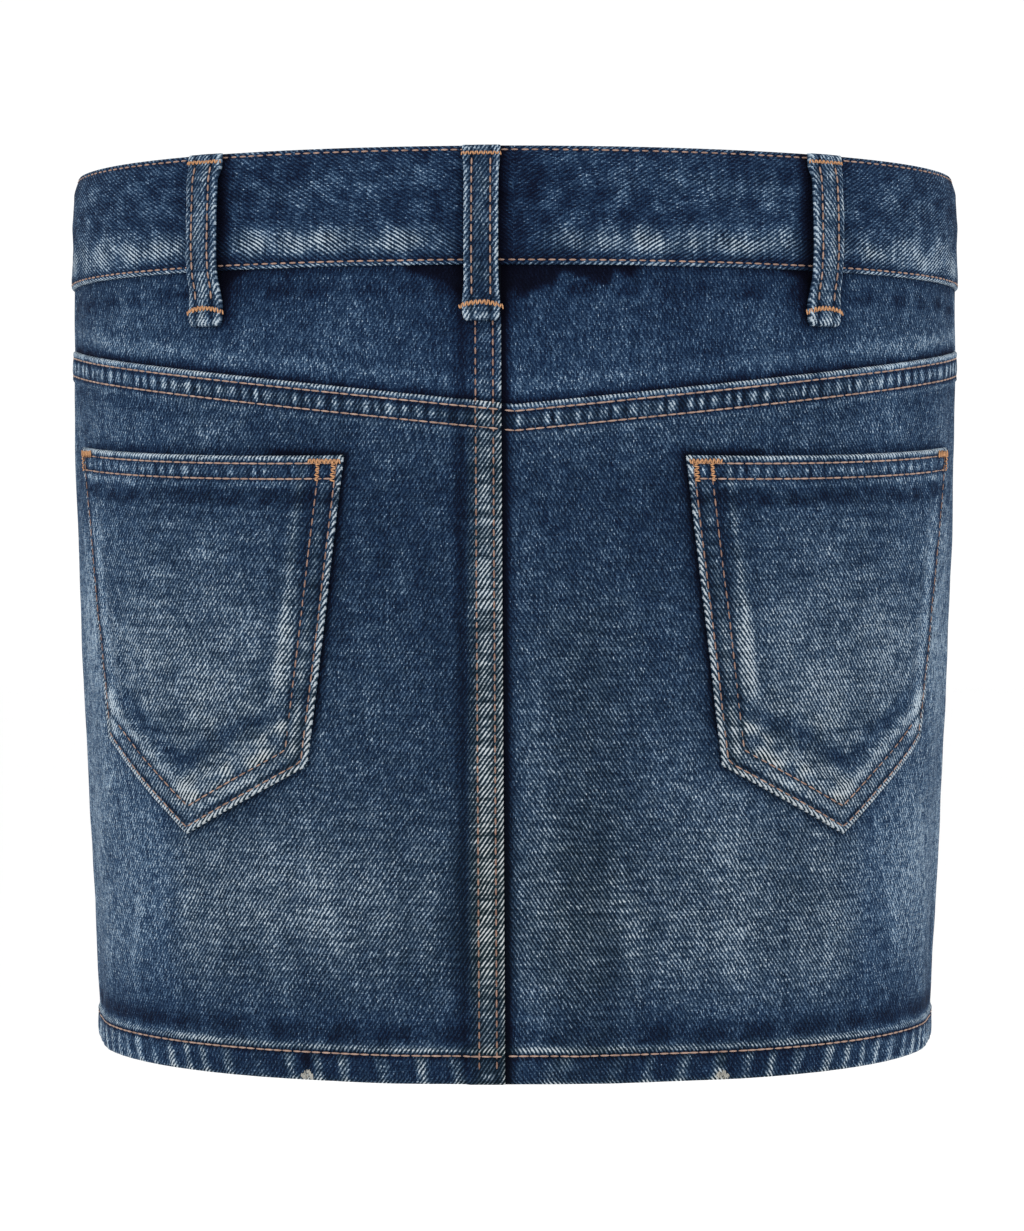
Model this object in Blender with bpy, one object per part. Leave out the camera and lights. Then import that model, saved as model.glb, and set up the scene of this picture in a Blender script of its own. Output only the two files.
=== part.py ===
"""Denim mini skirt, filled out as it is when worn, in metres.

The origin is the middle of the waist opening, level with the waistband's top edge.  +Z is up, the
back faces +Y and the wearer's left is +X.  Every cloth piece is a thin closed wall laid out in two
pattern measures: `around`, the distance round the body from the centre back, positive towards the
wearer's left, and `down`, the distance below the waistband's top edge.  `out` moves a point away
from the body, so a pocket or a belt loop is the panel's own points moved out.
"""

from functools import lru_cache

import bmesh
import bpy
import numpy
from mathutils import Matrix, Vector

# The skirt's body: one row for each level of the figure that fills it out.
BODY_LEVELS = (
    # down, half width, depth behind, depth in front, squareness of the section
    (0.000, 0.1766, 0.1050, 0.0985, 2.00),  # waistband top
    (0.060, 0.1774, 0.1150, 0.1050, 2.05),  # high hip
    (0.120, 0.1766, 0.1215, 0.1100, 2.10),  # hip
    (0.345, 0.1666, 0.1195, 0.1125, 2.25),  # hem
)
SKIRT_LENGTH = 0.345
SIDE_SEAM_BEHIND = 0.018  # the side seam lies this far behind the widest point

# Cloth and seams.
CLOTH = 0.0012
SEAM_GAP = 0.0003
LAP_RISE = 0.0012  # a felled seam stands this much above the panel
STEP = 0.0015  # the cloth's way down from a thick place to a thin one

# Waistband.
BAND_HEIGHT = 0.0450
BAND_RISE = 0.0016
BAND_BUTTON_END = 0.008  # the buttonhole end passes the centre front
BAND_UNDER_END = 0.030  # the button end lies under it
BAND_TUCK = 0.0034
EYE_FROM_END = 0.016  # middle of the buttonhole's eye
EYE_HALF = 0.0038

# Yoke seam: a shallow V, highest at the sides.
YOKE_AT_CENTRE = 0.0967
YOKE_SLOPE = 0.100
YOKE_CURVE = 0.110
YOKE_LAP = 0.0112

# Centre back seam: the left side laps over the right.
BACK_LAP_EDGE_TOP = 0.0055
BACK_LAP_EDGE_HEM = 0.0035
BACK_LAP = 0.0125

# Hem, turned twice.
HEM_HEIGHT = 0.0118
HEM_RISE = 0.0008
HEM_DEPTH = 0.0008

# Centre front: the left front laps over the right, which is tucked in behind it.
FRONT_LAP = 0.006
FRONT_UNDERLAP = 0.004
FRONT_TUCK = 0.0017
TUCK_START = 0.018
TUCK_FULL = 0.0075

# Back pocket, as corners on the left back panel.
POCKET_CORNERS = {
    # name: (around, down)
    "top_outer": (0.1945, 0.1094),
    "top_inner": (0.0629, 0.1151),
    "low_inner": (0.0768, 0.2291),
    "point": (0.1277, 0.2560),
    "low_outer": (0.1732, 0.2218),
}
POCKET_TOP_SAG = 0.0018
POCKET_STAND = 0.0005
POCKET_HEM = 0.0105
POCKET_TURNING = 0.0145
POCKET_TURNING_RISE = 0.0008

# Belt loops: where each stands, and its shape from top to bottom.
LOOP_BACK_CENTRE = 0.0123
LOOP_BACK_SIDE = 0.1194
LOOP_FRONT_FROM_CENTRE = 0.100
LOOP_SHAPE = (
    # down, inner face's distance out, thickness, width
    (0.0003, 0.0020, 0.0030, 0.0140),
    (0.0060, 0.0020, 0.0030, 0.0136),
    (0.0100, 0.0044, 0.0022, 0.0128),
    (0.0240, 0.0048, 0.0022, 0.0125),
    (0.0380, 0.0047, 0.0022, 0.0125),
    (0.0470, 0.0036, 0.0022, 0.0125),
    (0.0530, 0.0014, 0.0024, 0.0128),
    (0.0580, 0.0004, 0.0030, 0.0138),
    (0.0660, 0.0004, 0.0030, 0.0136),
)

# Fly zip, behind the front lap.
ZIP_BEHIND_CENTRE = 0.010  # the chain lies on the wearer's left of the centre front
ZIP_END = 0.150
TAPE_WIDTH = 0.0143
TAPE_THICKNESS = 0.0010
CHAIN_DEPTH = 0.0046
TAPE_EDGE_DEPTH_LEFT = 0.0016
TAPE_EDGE_DEPTH_RIGHT = 0.0033
TAPE_SPREAD = 0.0013  # the tapes part above the slider's post
TAPE_SPREAD_END = 0.0560
SLIDER_TOP = 0.0480
SLIDER_LENGTH = 0.0095
SLIDER_WIDTH = 0.0086
SLIDER_PLATE = 0.0010
SLIDER_POST_WIDTH = 0.0016
SLIDER_POST_HEIGHT = 0.0030
TAB_LENGTH = 0.0240
TAB_WIDTH = 0.0052

# Shank button.
BUTTON_RADIUS = 0.0085
SHANK_RADIUS = 0.0032

# Soft folds that the body of the skirt keeps.
SOFT_FOLDS = (
    # around, down from, down to, half width, height out
    (-0.023, 0.110, 0.340, 0.010, 0.0012),
    (-0.060, 0.200, 0.345, 0.030, -0.0012),
    (0.046, 0.220, 0.345, 0.026, 0.0010),
    (0.205, 0.180, 0.345, 0.024, -0.0012),
    (-0.205, 0.150, 0.345, 0.022, -0.0010),
    (0.300, 0.200, 0.345, 0.030, 0.0014),
    (-0.310, 0.170, 0.345, 0.032, 0.0014),
    (0.380, 0.240, 0.345, 0.022, -0.0012),
    (-0.385, 0.230, 0.345, 0.024, -0.0010),
)

MATERIALS = {
    # name: (colour, roughness, metallic)
    "denim": ((0.045, 0.085, 0.160, 1.0), 0.90, 0.0),
    "zip_tape": ((0.020, 0.030, 0.055, 1.0), 0.90, 0.0),
    "metal": ((0.420, 0.300, 0.170, 1.0), 0.35, 1.0),
}


# --- The body's surface ---------------------------------------------------------------------------


def level(down):
    """Half width, depth behind, depth in front and squareness at one height."""
    levels = numpy.array(BODY_LEVELS)
    heights, values = levels[:, 0], levels[:, 1:]
    slopes = numpy.diff(values, axis=0) / numpy.diff(heights)[:, None]
    tangents = numpy.vstack([slopes[:1], (slopes[:-1] + slopes[1:]) / 2, slopes[-1:]])
    index = int(numpy.clip(numpy.searchsorted(heights, down) - 1, 0, len(heights) - 2))
    span = heights[index + 1] - heights[index]
    t = (down - heights[index]) / span
    return (
        (2 * t**3 - 3 * t**2 + 1) * values[index]
        + (t**3 - 2 * t**2 + t) * span * tangents[index]
        + (3 * t**2 - 2 * t**3) * values[index + 1]
        + (t**3 - t**2) * span * tangents[index + 1]
    )


@lru_cache(maxsize=None)
def quarter(down, front):
    """Points from the centre line to the widest point, and their distance from the centre line."""
    half_width, behind, ahead, squareness = level(down)
    turn = numpy.linspace(0.0, numpy.pi / 2, 61)
    x = half_width * numpy.sin(turn) ** (2 / squareness)
    y = (-ahead if front else behind) * numpy.cos(turn) ** (2 / squareness)
    y[-1] = 0.0
    run = numpy.concatenate([[0.0], numpy.cumsum(numpy.hypot(numpy.diff(x), numpy.diff(y)))])
    return x, y, run


def to_side(down):
    """Distance from the centre back to the widest point."""
    return quarter(down, False)[2][-1]


def to_front(down):
    """Distance from the centre back to the centre front."""
    return to_side(down) + quarter(down, True)[2][-1]


def side_seam(down):
    return to_side(down) - SIDE_SEAM_BEHIND


def bump(distance, half_width):
    """1 in the middle, falling softly to 0 at half_width."""
    if abs(distance) >= half_width:
        return 0.0
    return (1 + numpy.cos(numpy.pi * distance / half_width)) / 2


def ramp(distance, full, none):
    """1 up to `full`, falling evenly to 0 at `none`."""
    return float(numpy.clip((none - distance) / (none - full), 0.0, 1.0))


def folds(around, down):
    """How far the soft folds move the cloth out."""
    total = 0.0
    for place, start, end, half_width, height in SOFT_FOLDS:
        fade_in = 1 - ramp(down - start, 0.0, 0.06)
        inside = 1.0 if down <= end else 0.0
        total += height * bump(around - place, half_width) * fade_in * inside
    return total


def skin(around, down, out=0.0):
    """The point of the body's surface at this pattern place, moved away from the body."""
    down_key = round(down, 6)
    half_girth = to_front(down_key)
    if around > half_girth:
        around -= 2 * half_girth
    if around < -half_girth:
        around += 2 * half_girth
    side = 1.0 if around >= 0 else -1.0
    front = abs(around) > to_side(down_key)
    x_run, y_run, run = quarter(down_key, front)
    distance = half_girth - abs(around) if front else abs(around)
    x = float(numpy.interp(distance, run, x_run))
    y = float(numpy.interp(distance, run, y_run))
    half_width, behind, ahead, squareness = level(down_key)
    depth = ahead if front else behind
    normal_x = (x / half_width) ** (squareness - 1) / half_width
    normal_y = (abs(y) / depth) ** (squareness - 1) / depth
    normal = Vector((side * normal_x, -normal_y if front else normal_y, 0.0)).normalized()
    return Vector((side * x, y, -down)) + normal * (out + folds(around, down))


def seat(around, down, out=0.0):
    """A frame on the surface: X runs round the body, Y points away from it and Z runs up it."""
    reach = 0.004
    middle = skin(around, down, out)
    round_body = (skin(around + reach, down, out) - skin(around - reach, down, out)).normalized()
    upward = (skin(around, down - reach, out) - skin(around, down + reach, out)).normalized()
    outward = upward.cross(round_body)
    outward.normalize()
    if outward.dot(skin(around, down, out + reach) - middle) < 0:
        outward.negate()
    upward = round_body.cross(outward)
    turn = Matrix((round_body, outward, upward)).transposed().to_4x4()
    return Matrix.Translation(middle) @ turn


# --- Making objects -------------------------------------------------------------------------------


def clear_scene():
    for thing in list(bpy.data.objects):
        bpy.data.objects.remove(thing, do_unlink=True)


def make_materials():
    made = {}
    for name, (colour, roughness, metallic) in MATERIALS.items():
        material = bpy.data.materials.new(name)
        material.use_nodes = True
        shader = material.node_tree.nodes["Principled BSDF"]
        shader.inputs["Base Color"].default_value = colour
        shader.inputs["Roughness"].default_value = roughness
        shader.inputs["Metallic"].default_value = metallic
        material.diffuse_color = colour
        made[name] = material
    return made


def add_object(name, shape, material):
    """Close a bmesh into an object whose faces point out."""
    bmesh.ops.recalc_face_normals(shape, faces=shape.faces[:])
    if shape.calc_volume(signed=True) < 0:
        bmesh.ops.reverse_faces(shape, faces=shape.faces[:])
    mesh = bpy.data.meshes.new(name)
    shape.to_mesh(mesh)
    shape.free()
    mesh.materials.append(material)
    piece = bpy.data.objects.new(name, mesh)
    bpy.context.scene.collection.objects.link(piece)
    return piece


def stations(start, end, first, last, between):
    """Places from start to end: `first` after start, an even run, and `last` before end."""
    way = 1.0 if end > start else -1.0
    opening = [start + way * distance for distance in first]
    closing = [end - way * distance for distance in reversed(last)]
    step = (closing[0] - opening[-1]) / (between + 1)
    return opening + [opening[-1] + step * (k + 1) for k in range(between)] + closing


def wall(name, columns, rows, place, material, open_cells=()):
    """A closed wall of cloth.

    place(column, row) gives the outer and the inner point.  The cells in open_cells are cut out.
    """
    shape = bmesh.new()
    bmesh.ops.create_grid(shape, x_segments=columns - 1, y_segments=rows - 1, size=0.5)

    def cell(point):
        return (point.x + 0.5) * (columns - 1), (0.5 - point.y) * (rows - 1)

    cut = []
    for face in shape.faces:
        column, row = cell(face.calc_center_median())
        if (int(column), int(row)) in open_cells:
            cut.append(face)
    if cut:
        bmesh.ops.delete(shape, geom=cut, context="FACES")
    pushed = bmesh.ops.extrude_face_region(shape, geom=shape.faces[:], use_keep_orig=True)
    inner = {item for item in pushed["geom"] if isinstance(item, bmesh.types.BMVert)}
    for vert in shape.verts:
        column, row = cell(vert.co)
        vert.co = place(round(column), round(row))[1 if vert in inner else 0]
    return add_object(name, shape, material)


# --- Panels ---------------------------------------------------------------------------------------


def hem_share(down):
    """1 in the turned hem, 0 above it."""
    return ramp(SKIRT_LENGTH - down, HEM_HEIGHT, HEM_HEIGHT + STEP)


def yoke_line(around):
    """How far down the yoke seam lies."""
    return YOKE_AT_CENTRE - YOKE_SLOPE * abs(around) - YOKE_CURVE * around**2


def back_lap_edge(down):
    share = down / SKIRT_LENGTH
    return BACK_LAP_EDGE_TOP + (BACK_LAP_EDGE_HEM - BACK_LAP_EDGE_TOP) * share


def back_columns(side, down):
    """The left half starts with the lap; the right half meets its edge."""
    edge = back_lap_edge(down)
    if side > 0:
        return stations(edge, side_seam(down), (0, BACK_LAP, BACK_LAP + STEP), (0,), 15)
    return stations(edge - SEAM_GAP, -side_seam(down), (0,), (0,), 18)


def back_lap_share(side, around, down):
    if side < 0:
        return 0.0
    return ramp(around - back_lap_edge(down), BACK_LAP, BACK_LAP + STEP)


def yoke_seam_down(side, column):
    """Where a column of the back crosses the yoke seam."""
    down = YOKE_AT_CENTRE
    for _ in range(5):
        down = yoke_line(back_columns(side, down)[column])
    return down


def make_yoke(name, side, material):
    columns = len(back_columns(side, YOKE_AT_CENTRE))

    def place(column, row):
        seam = yoke_seam_down(side, column)
        down = stations(BAND_HEIGHT + SEAM_GAP, seam - SEAM_GAP, (0,), (0,), 2)[row]
        around = back_columns(side, down)[column]
        rise = LAP_RISE * back_lap_share(side, around, down)
        return skin(around, down, rise), skin(around, down, -CLOTH)

    return wall(name, columns, 4, place, material)


def make_back(name, side, material):
    columns = len(back_columns(side, SKIRT_LENGTH))

    def rows(top):
        first = (0, YOKE_LAP, YOKE_LAP + STEP)
        return stations(top, SKIRT_LENGTH, first, (0, HEM_HEIGHT, HEM_HEIGHT + STEP), 12)

    def place(column, row):
        top = yoke_seam_down(side, column)
        down = rows(top)[row]
        around = back_columns(side, down)[column]
        hem = hem_share(down)
        rise = LAP_RISE * back_lap_share(side, around, down) + HEM_RISE * hem
        rise += LAP_RISE * ramp(down - top, YOKE_LAP, YOKE_LAP + STEP)
        return skin(around, down, rise), skin(around, down, -CLOTH - HEM_DEPTH * hem)

    return wall(name, columns, len(rows(YOKE_AT_CENTRE)), place, material)


def make_front(name, side, material):
    """The left front ends in the lap's edge; the right one is tucked in behind it."""

    def column_places(down):
        start = side_seam(down) + SEAM_GAP
        if side > 0:
            fly = (0, 0.010, 0.020, 0.030, 0.040)
            return stations(start, to_front(down) + FRONT_LAP, (0,), fly, 14)
        marks = (0, FRONT_UNDERLAP + TUCK_FULL, FRONT_UNDERLAP + TUCK_START)
        return stations(start, to_front(down) + FRONT_UNDERLAP, (0,), marks, 14)

    def place(column, row):
        down = rows[row]
        around = column_places(down)[column]
        hem = hem_share(down)
        tuck = 0.0
        if side < 0:
            depth = FRONT_TUCK + (HEM_RISE + HEM_DEPTH) * hem
            tuck = depth * ramp(to_front(down) - around, TUCK_FULL, TUCK_START)
        around *= side
        outer = HEM_RISE * hem - tuck
        return skin(around, down, outer), skin(around, down, -CLOTH - HEM_DEPTH * hem - tuck)

    top = BAND_HEIGHT + SEAM_GAP
    rows = stations(top, SKIRT_LENGTH, (0,), (0, HEM_HEIGHT, HEM_HEIGHT + STEP), 13)
    return wall(name, len(column_places(top)), len(rows), place, material)


def make_waistband(material):
    """One strip round the waist; the button end is tucked in behind the buttonhole end."""
    eye = (EYE_FROM_END - EYE_HALF, EYE_FROM_END + EYE_HALF)
    tuck_full = BAND_UNDER_END + BAND_BUTTON_END + 0.0015
    tuck_none = tuck_full + 0.015
    middle = BAND_HEIGHT / 2
    rows = (0.0, middle - EYE_HALF, middle + EYE_HALF, BAND_HEIGHT)

    def column_places(down):
        start = -(to_front(down) + BAND_UNDER_END)
        end = to_front(down) + BAND_BUTTON_END
        first = (0, tuck_full / 3, tuck_full * 2 / 3, tuck_full, (tuck_full + tuck_none) / 2)
        return stations(start, end, first + (tuck_none,), (0, *eye), 66)

    def place(column, row):
        down = rows[row]
        around = column_places(down)[column]
        from_start = around + to_front(down) + BAND_UNDER_END
        tuck = BAND_TUCK * ramp(from_start, tuck_full, tuck_none)
        return skin(around, down, BAND_RISE - tuck), skin(around, down, -CLOTH - tuck)

    columns = len(column_places(0.0))
    eye_cell = (columns - 3, 1)
    return wall("waistband", columns, len(rows), place, material, open_cells={eye_cell})


# --- Pockets and belt loops -----------------------------------------------------------------------


def between(start, end, share):
    """The pattern place part of the way from one corner to another."""
    return tuple(a + (b - a) * share for a, b in zip(start, end))


def make_pocket(name, side, material):
    """A five-sided patch, thicker along its turned edges."""
    corners = POCKET_CORNERS
    top_middle_share = (corners["low_outer"][0] - corners["point"][0]) / (
        corners["low_outer"][0] - corners["low_inner"][0]
    )
    top_middle = between(corners["top_outer"], corners["top_inner"], top_middle_share)
    turning = (0, POCKET_TURNING, POCKET_TURNING + STEP)

    def column_places(share):
        outer = between(corners["top_outer"], corners["low_outer"], share)[0]
        spine = between(top_middle, corners["point"], share)[0]
        inner = between(corners["top_inner"], corners["low_inner"], share)[0]
        half = stations(outer, spine, turning, (0,), 3)
        return half + stations(spine, inner, (0,), turning, 3)[1:]

    columns = len(column_places(0.0))
    spine_column = columns // 2

    def top_at(column):
        share = column_share(column, 0.0)
        sag = POCKET_TOP_SAG * 4 * share * (1 - share)
        return between(corners["top_outer"], corners["top_inner"], share)[1] + sag

    def bottom_at(column):
        places = column_places(1.0)
        if column <= spine_column:
            share = (places[0] - places[column]) / (places[0] - places[spine_column])
            return between(corners["low_outer"], corners["point"], share)[1]
        share = (places[spine_column] - places[column]) / (places[spine_column] - places[-1])
        return between(corners["point"], corners["low_inner"], share)[1]

    def column_share(column, share_down):
        places = column_places(share_down)
        return (places[0] - places[column]) / (places[0] - places[-1])

    def rows(column):
        first = (0, POCKET_HEM, POCKET_HEM + STEP)
        return stations(top_at(column), bottom_at(column), first, turning, 9)

    def place(column, row):
        downs = rows(column)
        down = downs[row]
        share = (down - downs[0]) / (downs[-1] - downs[0])
        places = column_places(share)
        around = places[column]
        to_edge = min(places[0] - around, around - places[-1], downs[-1] - down)
        turned = ramp(to_edge, POCKET_TURNING, POCKET_TURNING + STEP)
        turned = max(turned, ramp(down - downs[0], POCKET_HEM, POCKET_HEM + STEP))
        thickness = CLOTH + POCKET_TURNING_RISE * turned
        around *= side
        inner = skin(around, down, POCKET_STAND)
        return skin(around, down, POCKET_STAND + thickness), inner

    return wall(name, columns, len(rows(0)), place, material)


def make_loop(name, side, from_centre, material, front=False, ground=0.0):
    """A belt loop, at its distance from the centre back or front.

    `ground` is how far the cloth under its lower end stands out.
    """

    def place(column, row):
        down, stand, thickness, width = LOOP_SHAPE[row]
        stand = max(stand, ground + LOOP_SHAPE[-1][1])
        middle = to_front(down) - from_centre if front else from_centre
        around = side * middle + (column - 1) * width / 2
        return skin(around, down, stand + thickness), skin(around, down, stand)

    return wall(name, 3, len(LOOP_SHAPE), place, material)


# --- Zip and button -------------------------------------------------------------------------------


def make_tape(name, side, material):
    """One half of the zip; the two part at the top round the slider's post."""
    rows = (0.0460, 0.0500, 0.0530, TAPE_SPREAD_END, 0.0640, 0.0800, 0.1000, 0.1250, ZIP_END)
    edge_depth = TAPE_EDGE_DEPTH_LEFT if side > 0 else TAPE_EDGE_DEPTH_RIGHT
    shares = (0.0, 0.25, 0.55, 0.75, 1.0)

    def place(column, row):
        down = rows[row]
        spread = TAPE_SPREAD if down < TAPE_SPREAD_END else 0.0
        chain = to_front(down) - ZIP_BEHIND_CENTRE
        from_chain = SEAM_GAP / 2 + spread + (TAPE_WIDTH - spread) * shares[column]
        around = chain - side * from_chain
        share = ramp(from_chain, 0.004, 0.010)
        depth = edge_depth + (CHAIN_DEPTH - edge_depth) * share
        return skin(around, down, -depth), skin(around, down, -depth - TAPE_THICKNESS)

    return wall(name, len(shares), len(rows), place, material)


def add_block(name, frame, low, high, material):
    """A box between two corners of a seat's frame."""
    shape = bmesh.new()
    size = [b - a for a, b in zip(low, high)]
    middle = [(a + b) / 2 for a, b in zip(low, high)]
    bmesh.ops.create_cube(shape, size=1.0)
    bmesh.ops.scale(shape, vec=size, verts=shape.verts)
    bmesh.ops.translate(shape, vec=middle, verts=shape.verts)
    bmesh.ops.transform(shape, matrix=frame, verts=shape.verts)
    return add_object(name, shape, material)


def make_slider(material):
    """Front and back plates joined by a post, with the pull tab hanging flat in front."""
    middle_down = SLIDER_TOP + SLIDER_LENGTH / 2
    around = to_front(middle_down) - ZIP_BEHIND_CENTRE
    frame = seat(around, middle_down)
    half_width, half_length = SLIDER_WIDTH / 2, SLIDER_LENGTH / 2
    front_face = -(CHAIN_DEPTH - SEAM_GAP)
    back_face = -(CHAIN_DEPTH + TAPE_THICKNESS + SEAM_GAP)
    plate_front = front_face + SLIDER_PLATE
    tab_back = plate_front + SEAM_GAP
    overlap = 0.0002
    slider = add_block(
        "zip_slider",
        frame,
        (-half_width, front_face, -half_length),
        (half_width, plate_front, half_length),
        material,
    )
    post_top = half_length - 0.0010
    tab_top = half_length - 0.0020
    extras = {
        "back_plate": (
            (-half_width, back_face - SLIDER_PLATE, -half_length),
            (half_width, back_face, half_length),
        ),
        "post": (
            (-SLIDER_POST_WIDTH / 2, back_face - overlap, post_top - SLIDER_POST_HEIGHT),
            (SLIDER_POST_WIDTH / 2, front_face + overlap, post_top),
        ),
        "bridge": (
            (-TAB_WIDTH / 4, plate_front - overlap, tab_top - 0.0040),
            (TAB_WIDTH / 4, tab_back + overlap, tab_top - 0.0005),
        ),
        "tab": (
            (-TAB_WIDTH / 2, tab_back, tab_top - TAB_LENGTH),
            (TAB_WIDTH / 2, tab_back + 0.0008, tab_top),
        ),
    }
    for name, (low, high) in extras.items():
        extra = add_block("slider_" + name, frame, low, high, material)
        extra.hide_render = True
        extra.display_type = "WIRE"
        union = slider.modifiers.new(name, "BOOLEAN")
        union.operation = "UNION"
        union.object = extra
    return slider


def make_button(material):
    """A shank button turned from its profile, through the buttonhole's eye."""
    down = BAND_HEIGHT / 2
    around = to_front(down) + BAND_BUTTON_END - EYE_FROM_END
    frame = seat(around, down)
    foot = BAND_RISE - BAND_TUCK + SEAM_GAP
    under = BAND_RISE + 0.0004
    profile = (
        # radius, out
        (0.0, foot),
        (SHANK_RADIUS, foot),
        (SHANK_RADIUS, under),
        (BUTTON_RADIUS - 0.0006, under),
        (BUTTON_RADIUS, under + 0.0006),
        (BUTTON_RADIUS - 0.0002, under + 0.0013),
        (BUTTON_RADIUS - 0.0012, under + 0.0020),
        (0.0055, under + 0.0022),
        (0.0050, under + 0.0019),
        (0.0, under + 0.0021),
    )
    shape = bmesh.new()
    points = [shape.verts.new((radius, out, 0.0)) for radius, out in profile]
    edges = [shape.edges.new(pair) for pair in zip(points, points[1:])]
    bmesh.ops.spin(
        shape,
        geom=points + edges,
        cent=(0, 0, 0),
        axis=(0, 1, 0),
        angle=2 * numpy.pi,
        steps=24,
        use_merge=True,
    )
    bmesh.ops.remove_doubles(shape, verts=shape.verts, dist=1e-6)
    bmesh.ops.transform(shape, matrix=frame, verts=shape.verts)
    button = add_object("button", shape, material)
    button.data.shade_smooth()
    button.data.set_sharp_from_angle(angle=0.6)
    return button


# --- The skirt ------------------------------------------------------------------------------------


def make_skirt():
    clear_scene()
    materials = make_materials()
    denim, tape, metal = materials["denim"], materials["zip_tape"], materials["metal"]
    make_waistband(denim)
    for word, side in (("left", 1), ("right", -1)):
        make_yoke("yoke_" + word, side, denim)
        make_back("back_" + word, side, denim)
        make_front("front_" + word, side, denim)
        make_pocket("pocket_" + word, side, denim)
        make_loop("loop_back_" + word, side, LOOP_BACK_SIDE, denim)
        make_loop("loop_front_" + word, side, LOOP_FRONT_FROM_CENTRE, denim, front=True)
        make_tape("zip_tape_" + word, side, tape)
    make_loop("loop_back_centre", 1, LOOP_BACK_CENTRE, denim, ground=LAP_RISE)
    make_slider(metal)
    make_button(metal)


make_skirt()
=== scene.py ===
"""The looks of a denim mini skirt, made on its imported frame.

Every cloth piece is laid out in two pattern measures, in metres: `around`, the distance round the
body from the centre back, positive towards the wearer's left, and `down`, the distance below the
waistband's top edge.  `skin` wraps that pattern onto the filled-out body.
"""

import functools
import math
import random
from collections import namedtuple

import bmesh
import bpy
import numpy as np
from mathutils import Matrix, Vector


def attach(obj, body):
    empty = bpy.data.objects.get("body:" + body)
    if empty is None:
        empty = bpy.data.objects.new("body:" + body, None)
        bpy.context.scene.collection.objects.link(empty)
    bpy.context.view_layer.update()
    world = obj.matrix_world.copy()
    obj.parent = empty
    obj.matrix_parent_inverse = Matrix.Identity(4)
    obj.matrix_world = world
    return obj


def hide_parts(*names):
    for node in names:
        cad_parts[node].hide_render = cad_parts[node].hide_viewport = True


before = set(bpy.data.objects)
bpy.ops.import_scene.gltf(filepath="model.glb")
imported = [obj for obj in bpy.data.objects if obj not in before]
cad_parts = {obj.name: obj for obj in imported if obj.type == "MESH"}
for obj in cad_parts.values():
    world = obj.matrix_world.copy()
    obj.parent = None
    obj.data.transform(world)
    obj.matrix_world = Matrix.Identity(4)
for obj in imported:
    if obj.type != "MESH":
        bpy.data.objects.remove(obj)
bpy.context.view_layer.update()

# --- Sizes, in metres -----------------------------------------------------------------------------

SIDES = (("left", 1), ("right", -1))  # the wearer's sides, and the sign of `around` there

BODY_LEVELS = np.array(
    (
        # down, half width, depth behind, depth in front, squareness of the section
        (0.000, 0.1766, 0.1050, 0.0985, 2.00),  # waistband top
        (0.060, 0.1774, 0.1150, 0.1050, 2.05),  # high hip
        (0.120, 0.1766, 0.1215, 0.1100, 2.10),  # hip
        (0.345, 0.1666, 0.1195, 0.1125, 2.25),  # hem
    )
)
SKIRT_LENGTH = 0.345
SIDE_SEAM_BEHIND = 0.018
SOFT_FOLDS = (
    # around, down from, down to, half width, height out
    (-0.023, 0.110, 0.340, 0.010, 0.0012),
    (-0.060, 0.200, 0.345, 0.030, -0.0012),
    (0.046, 0.220, 0.345, 0.026, 0.0010),
    (0.205, 0.180, 0.345, 0.024, -0.0012),
    (-0.205, 0.150, 0.345, 0.022, -0.0010),
    (0.300, 0.200, 0.345, 0.030, 0.0014),
    (-0.310, 0.170, 0.345, 0.032, 0.0014),
    (0.380, 0.240, 0.345, 0.022, -0.0012),
    (-0.385, 0.230, 0.345, 0.024, -0.0010),
)

CLOTH = 0.0012
SEWN_IN = 0.0004  # a panel runs this far into the seam that joins it

BAND_HEIGHT = 0.0450
BAND_RISE = 0.0016
BAND_BUTTON_END = 0.008
BAND_UNDER_END = 0.030
BAND_TUCK = 0.0034
EYE_FROM_END = 0.016
EYE_HALF = 0.0038

YOKE_AT_CENTRE = 0.0967
YOKE_SLOPE = 0.100
YOKE_CURVE = 0.110
YOKE_AT_SIDE = 0.075
YOKE_LAP = 0.0112
LAP_RISE = 0.0012
LAP_STEP = 0.0022
BACK_LAP_EDGE_TOP = 0.0055
BACK_LAP_EDGE_HEM = 0.0035
BACK_LAP = 0.0125

HEM_HEIGHT = 0.0118
HEM_RISE = 0.0008
HEM_DEPTH = 0.0008

FRONT_LAP = 0.006
FRONT_UNDERLAP = 0.004
FRONT_TUCK = 0.0017
TUCK_START = 0.018
TUCK_FULL = 0.0075
FLY_WIDTH = 0.038
FLY_END = 0.150
FLY_ROWS = (0.0, 0.0065)  # its curved topstitching, in from its width
FLY_TURN = 0.030  # height of the curve
FLY_FOOT = 0.010  # it ends this far from the lap's edge

POCKET_CORNERS = {
    # name: (around, down)
    "top_outer": (0.1945, 0.1094),
    "top_inner": (0.0629, 0.1151),
    "low_inner": (0.0768, 0.2291),
    "point": (0.1277, 0.2560),
    "low_outer": (0.1732, 0.2218),
}
POCKET_SIDES = ("top_inner", "low_inner", "point", "low_outer", "top_outer")
POCKET_MIDDLE = np.array((0.128, 0.170))
POINT_FROM = 0.2150  # where the sewing round its point starts
POCKET_TOP_SAG = 0.0018
POCKET_STAND = 0.0005
POCKET_HEM = 0.0105
POCKET_TURNING = 0.0145
POCKET_RISE = 0.0008
POCKET_ROWS = (0.0022, 0.0088)  # its twin rows of sewing, from its sides and point
POCKET_TOP_ROWS = (0.0029, 0.0086)  # and from its top edge

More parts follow.
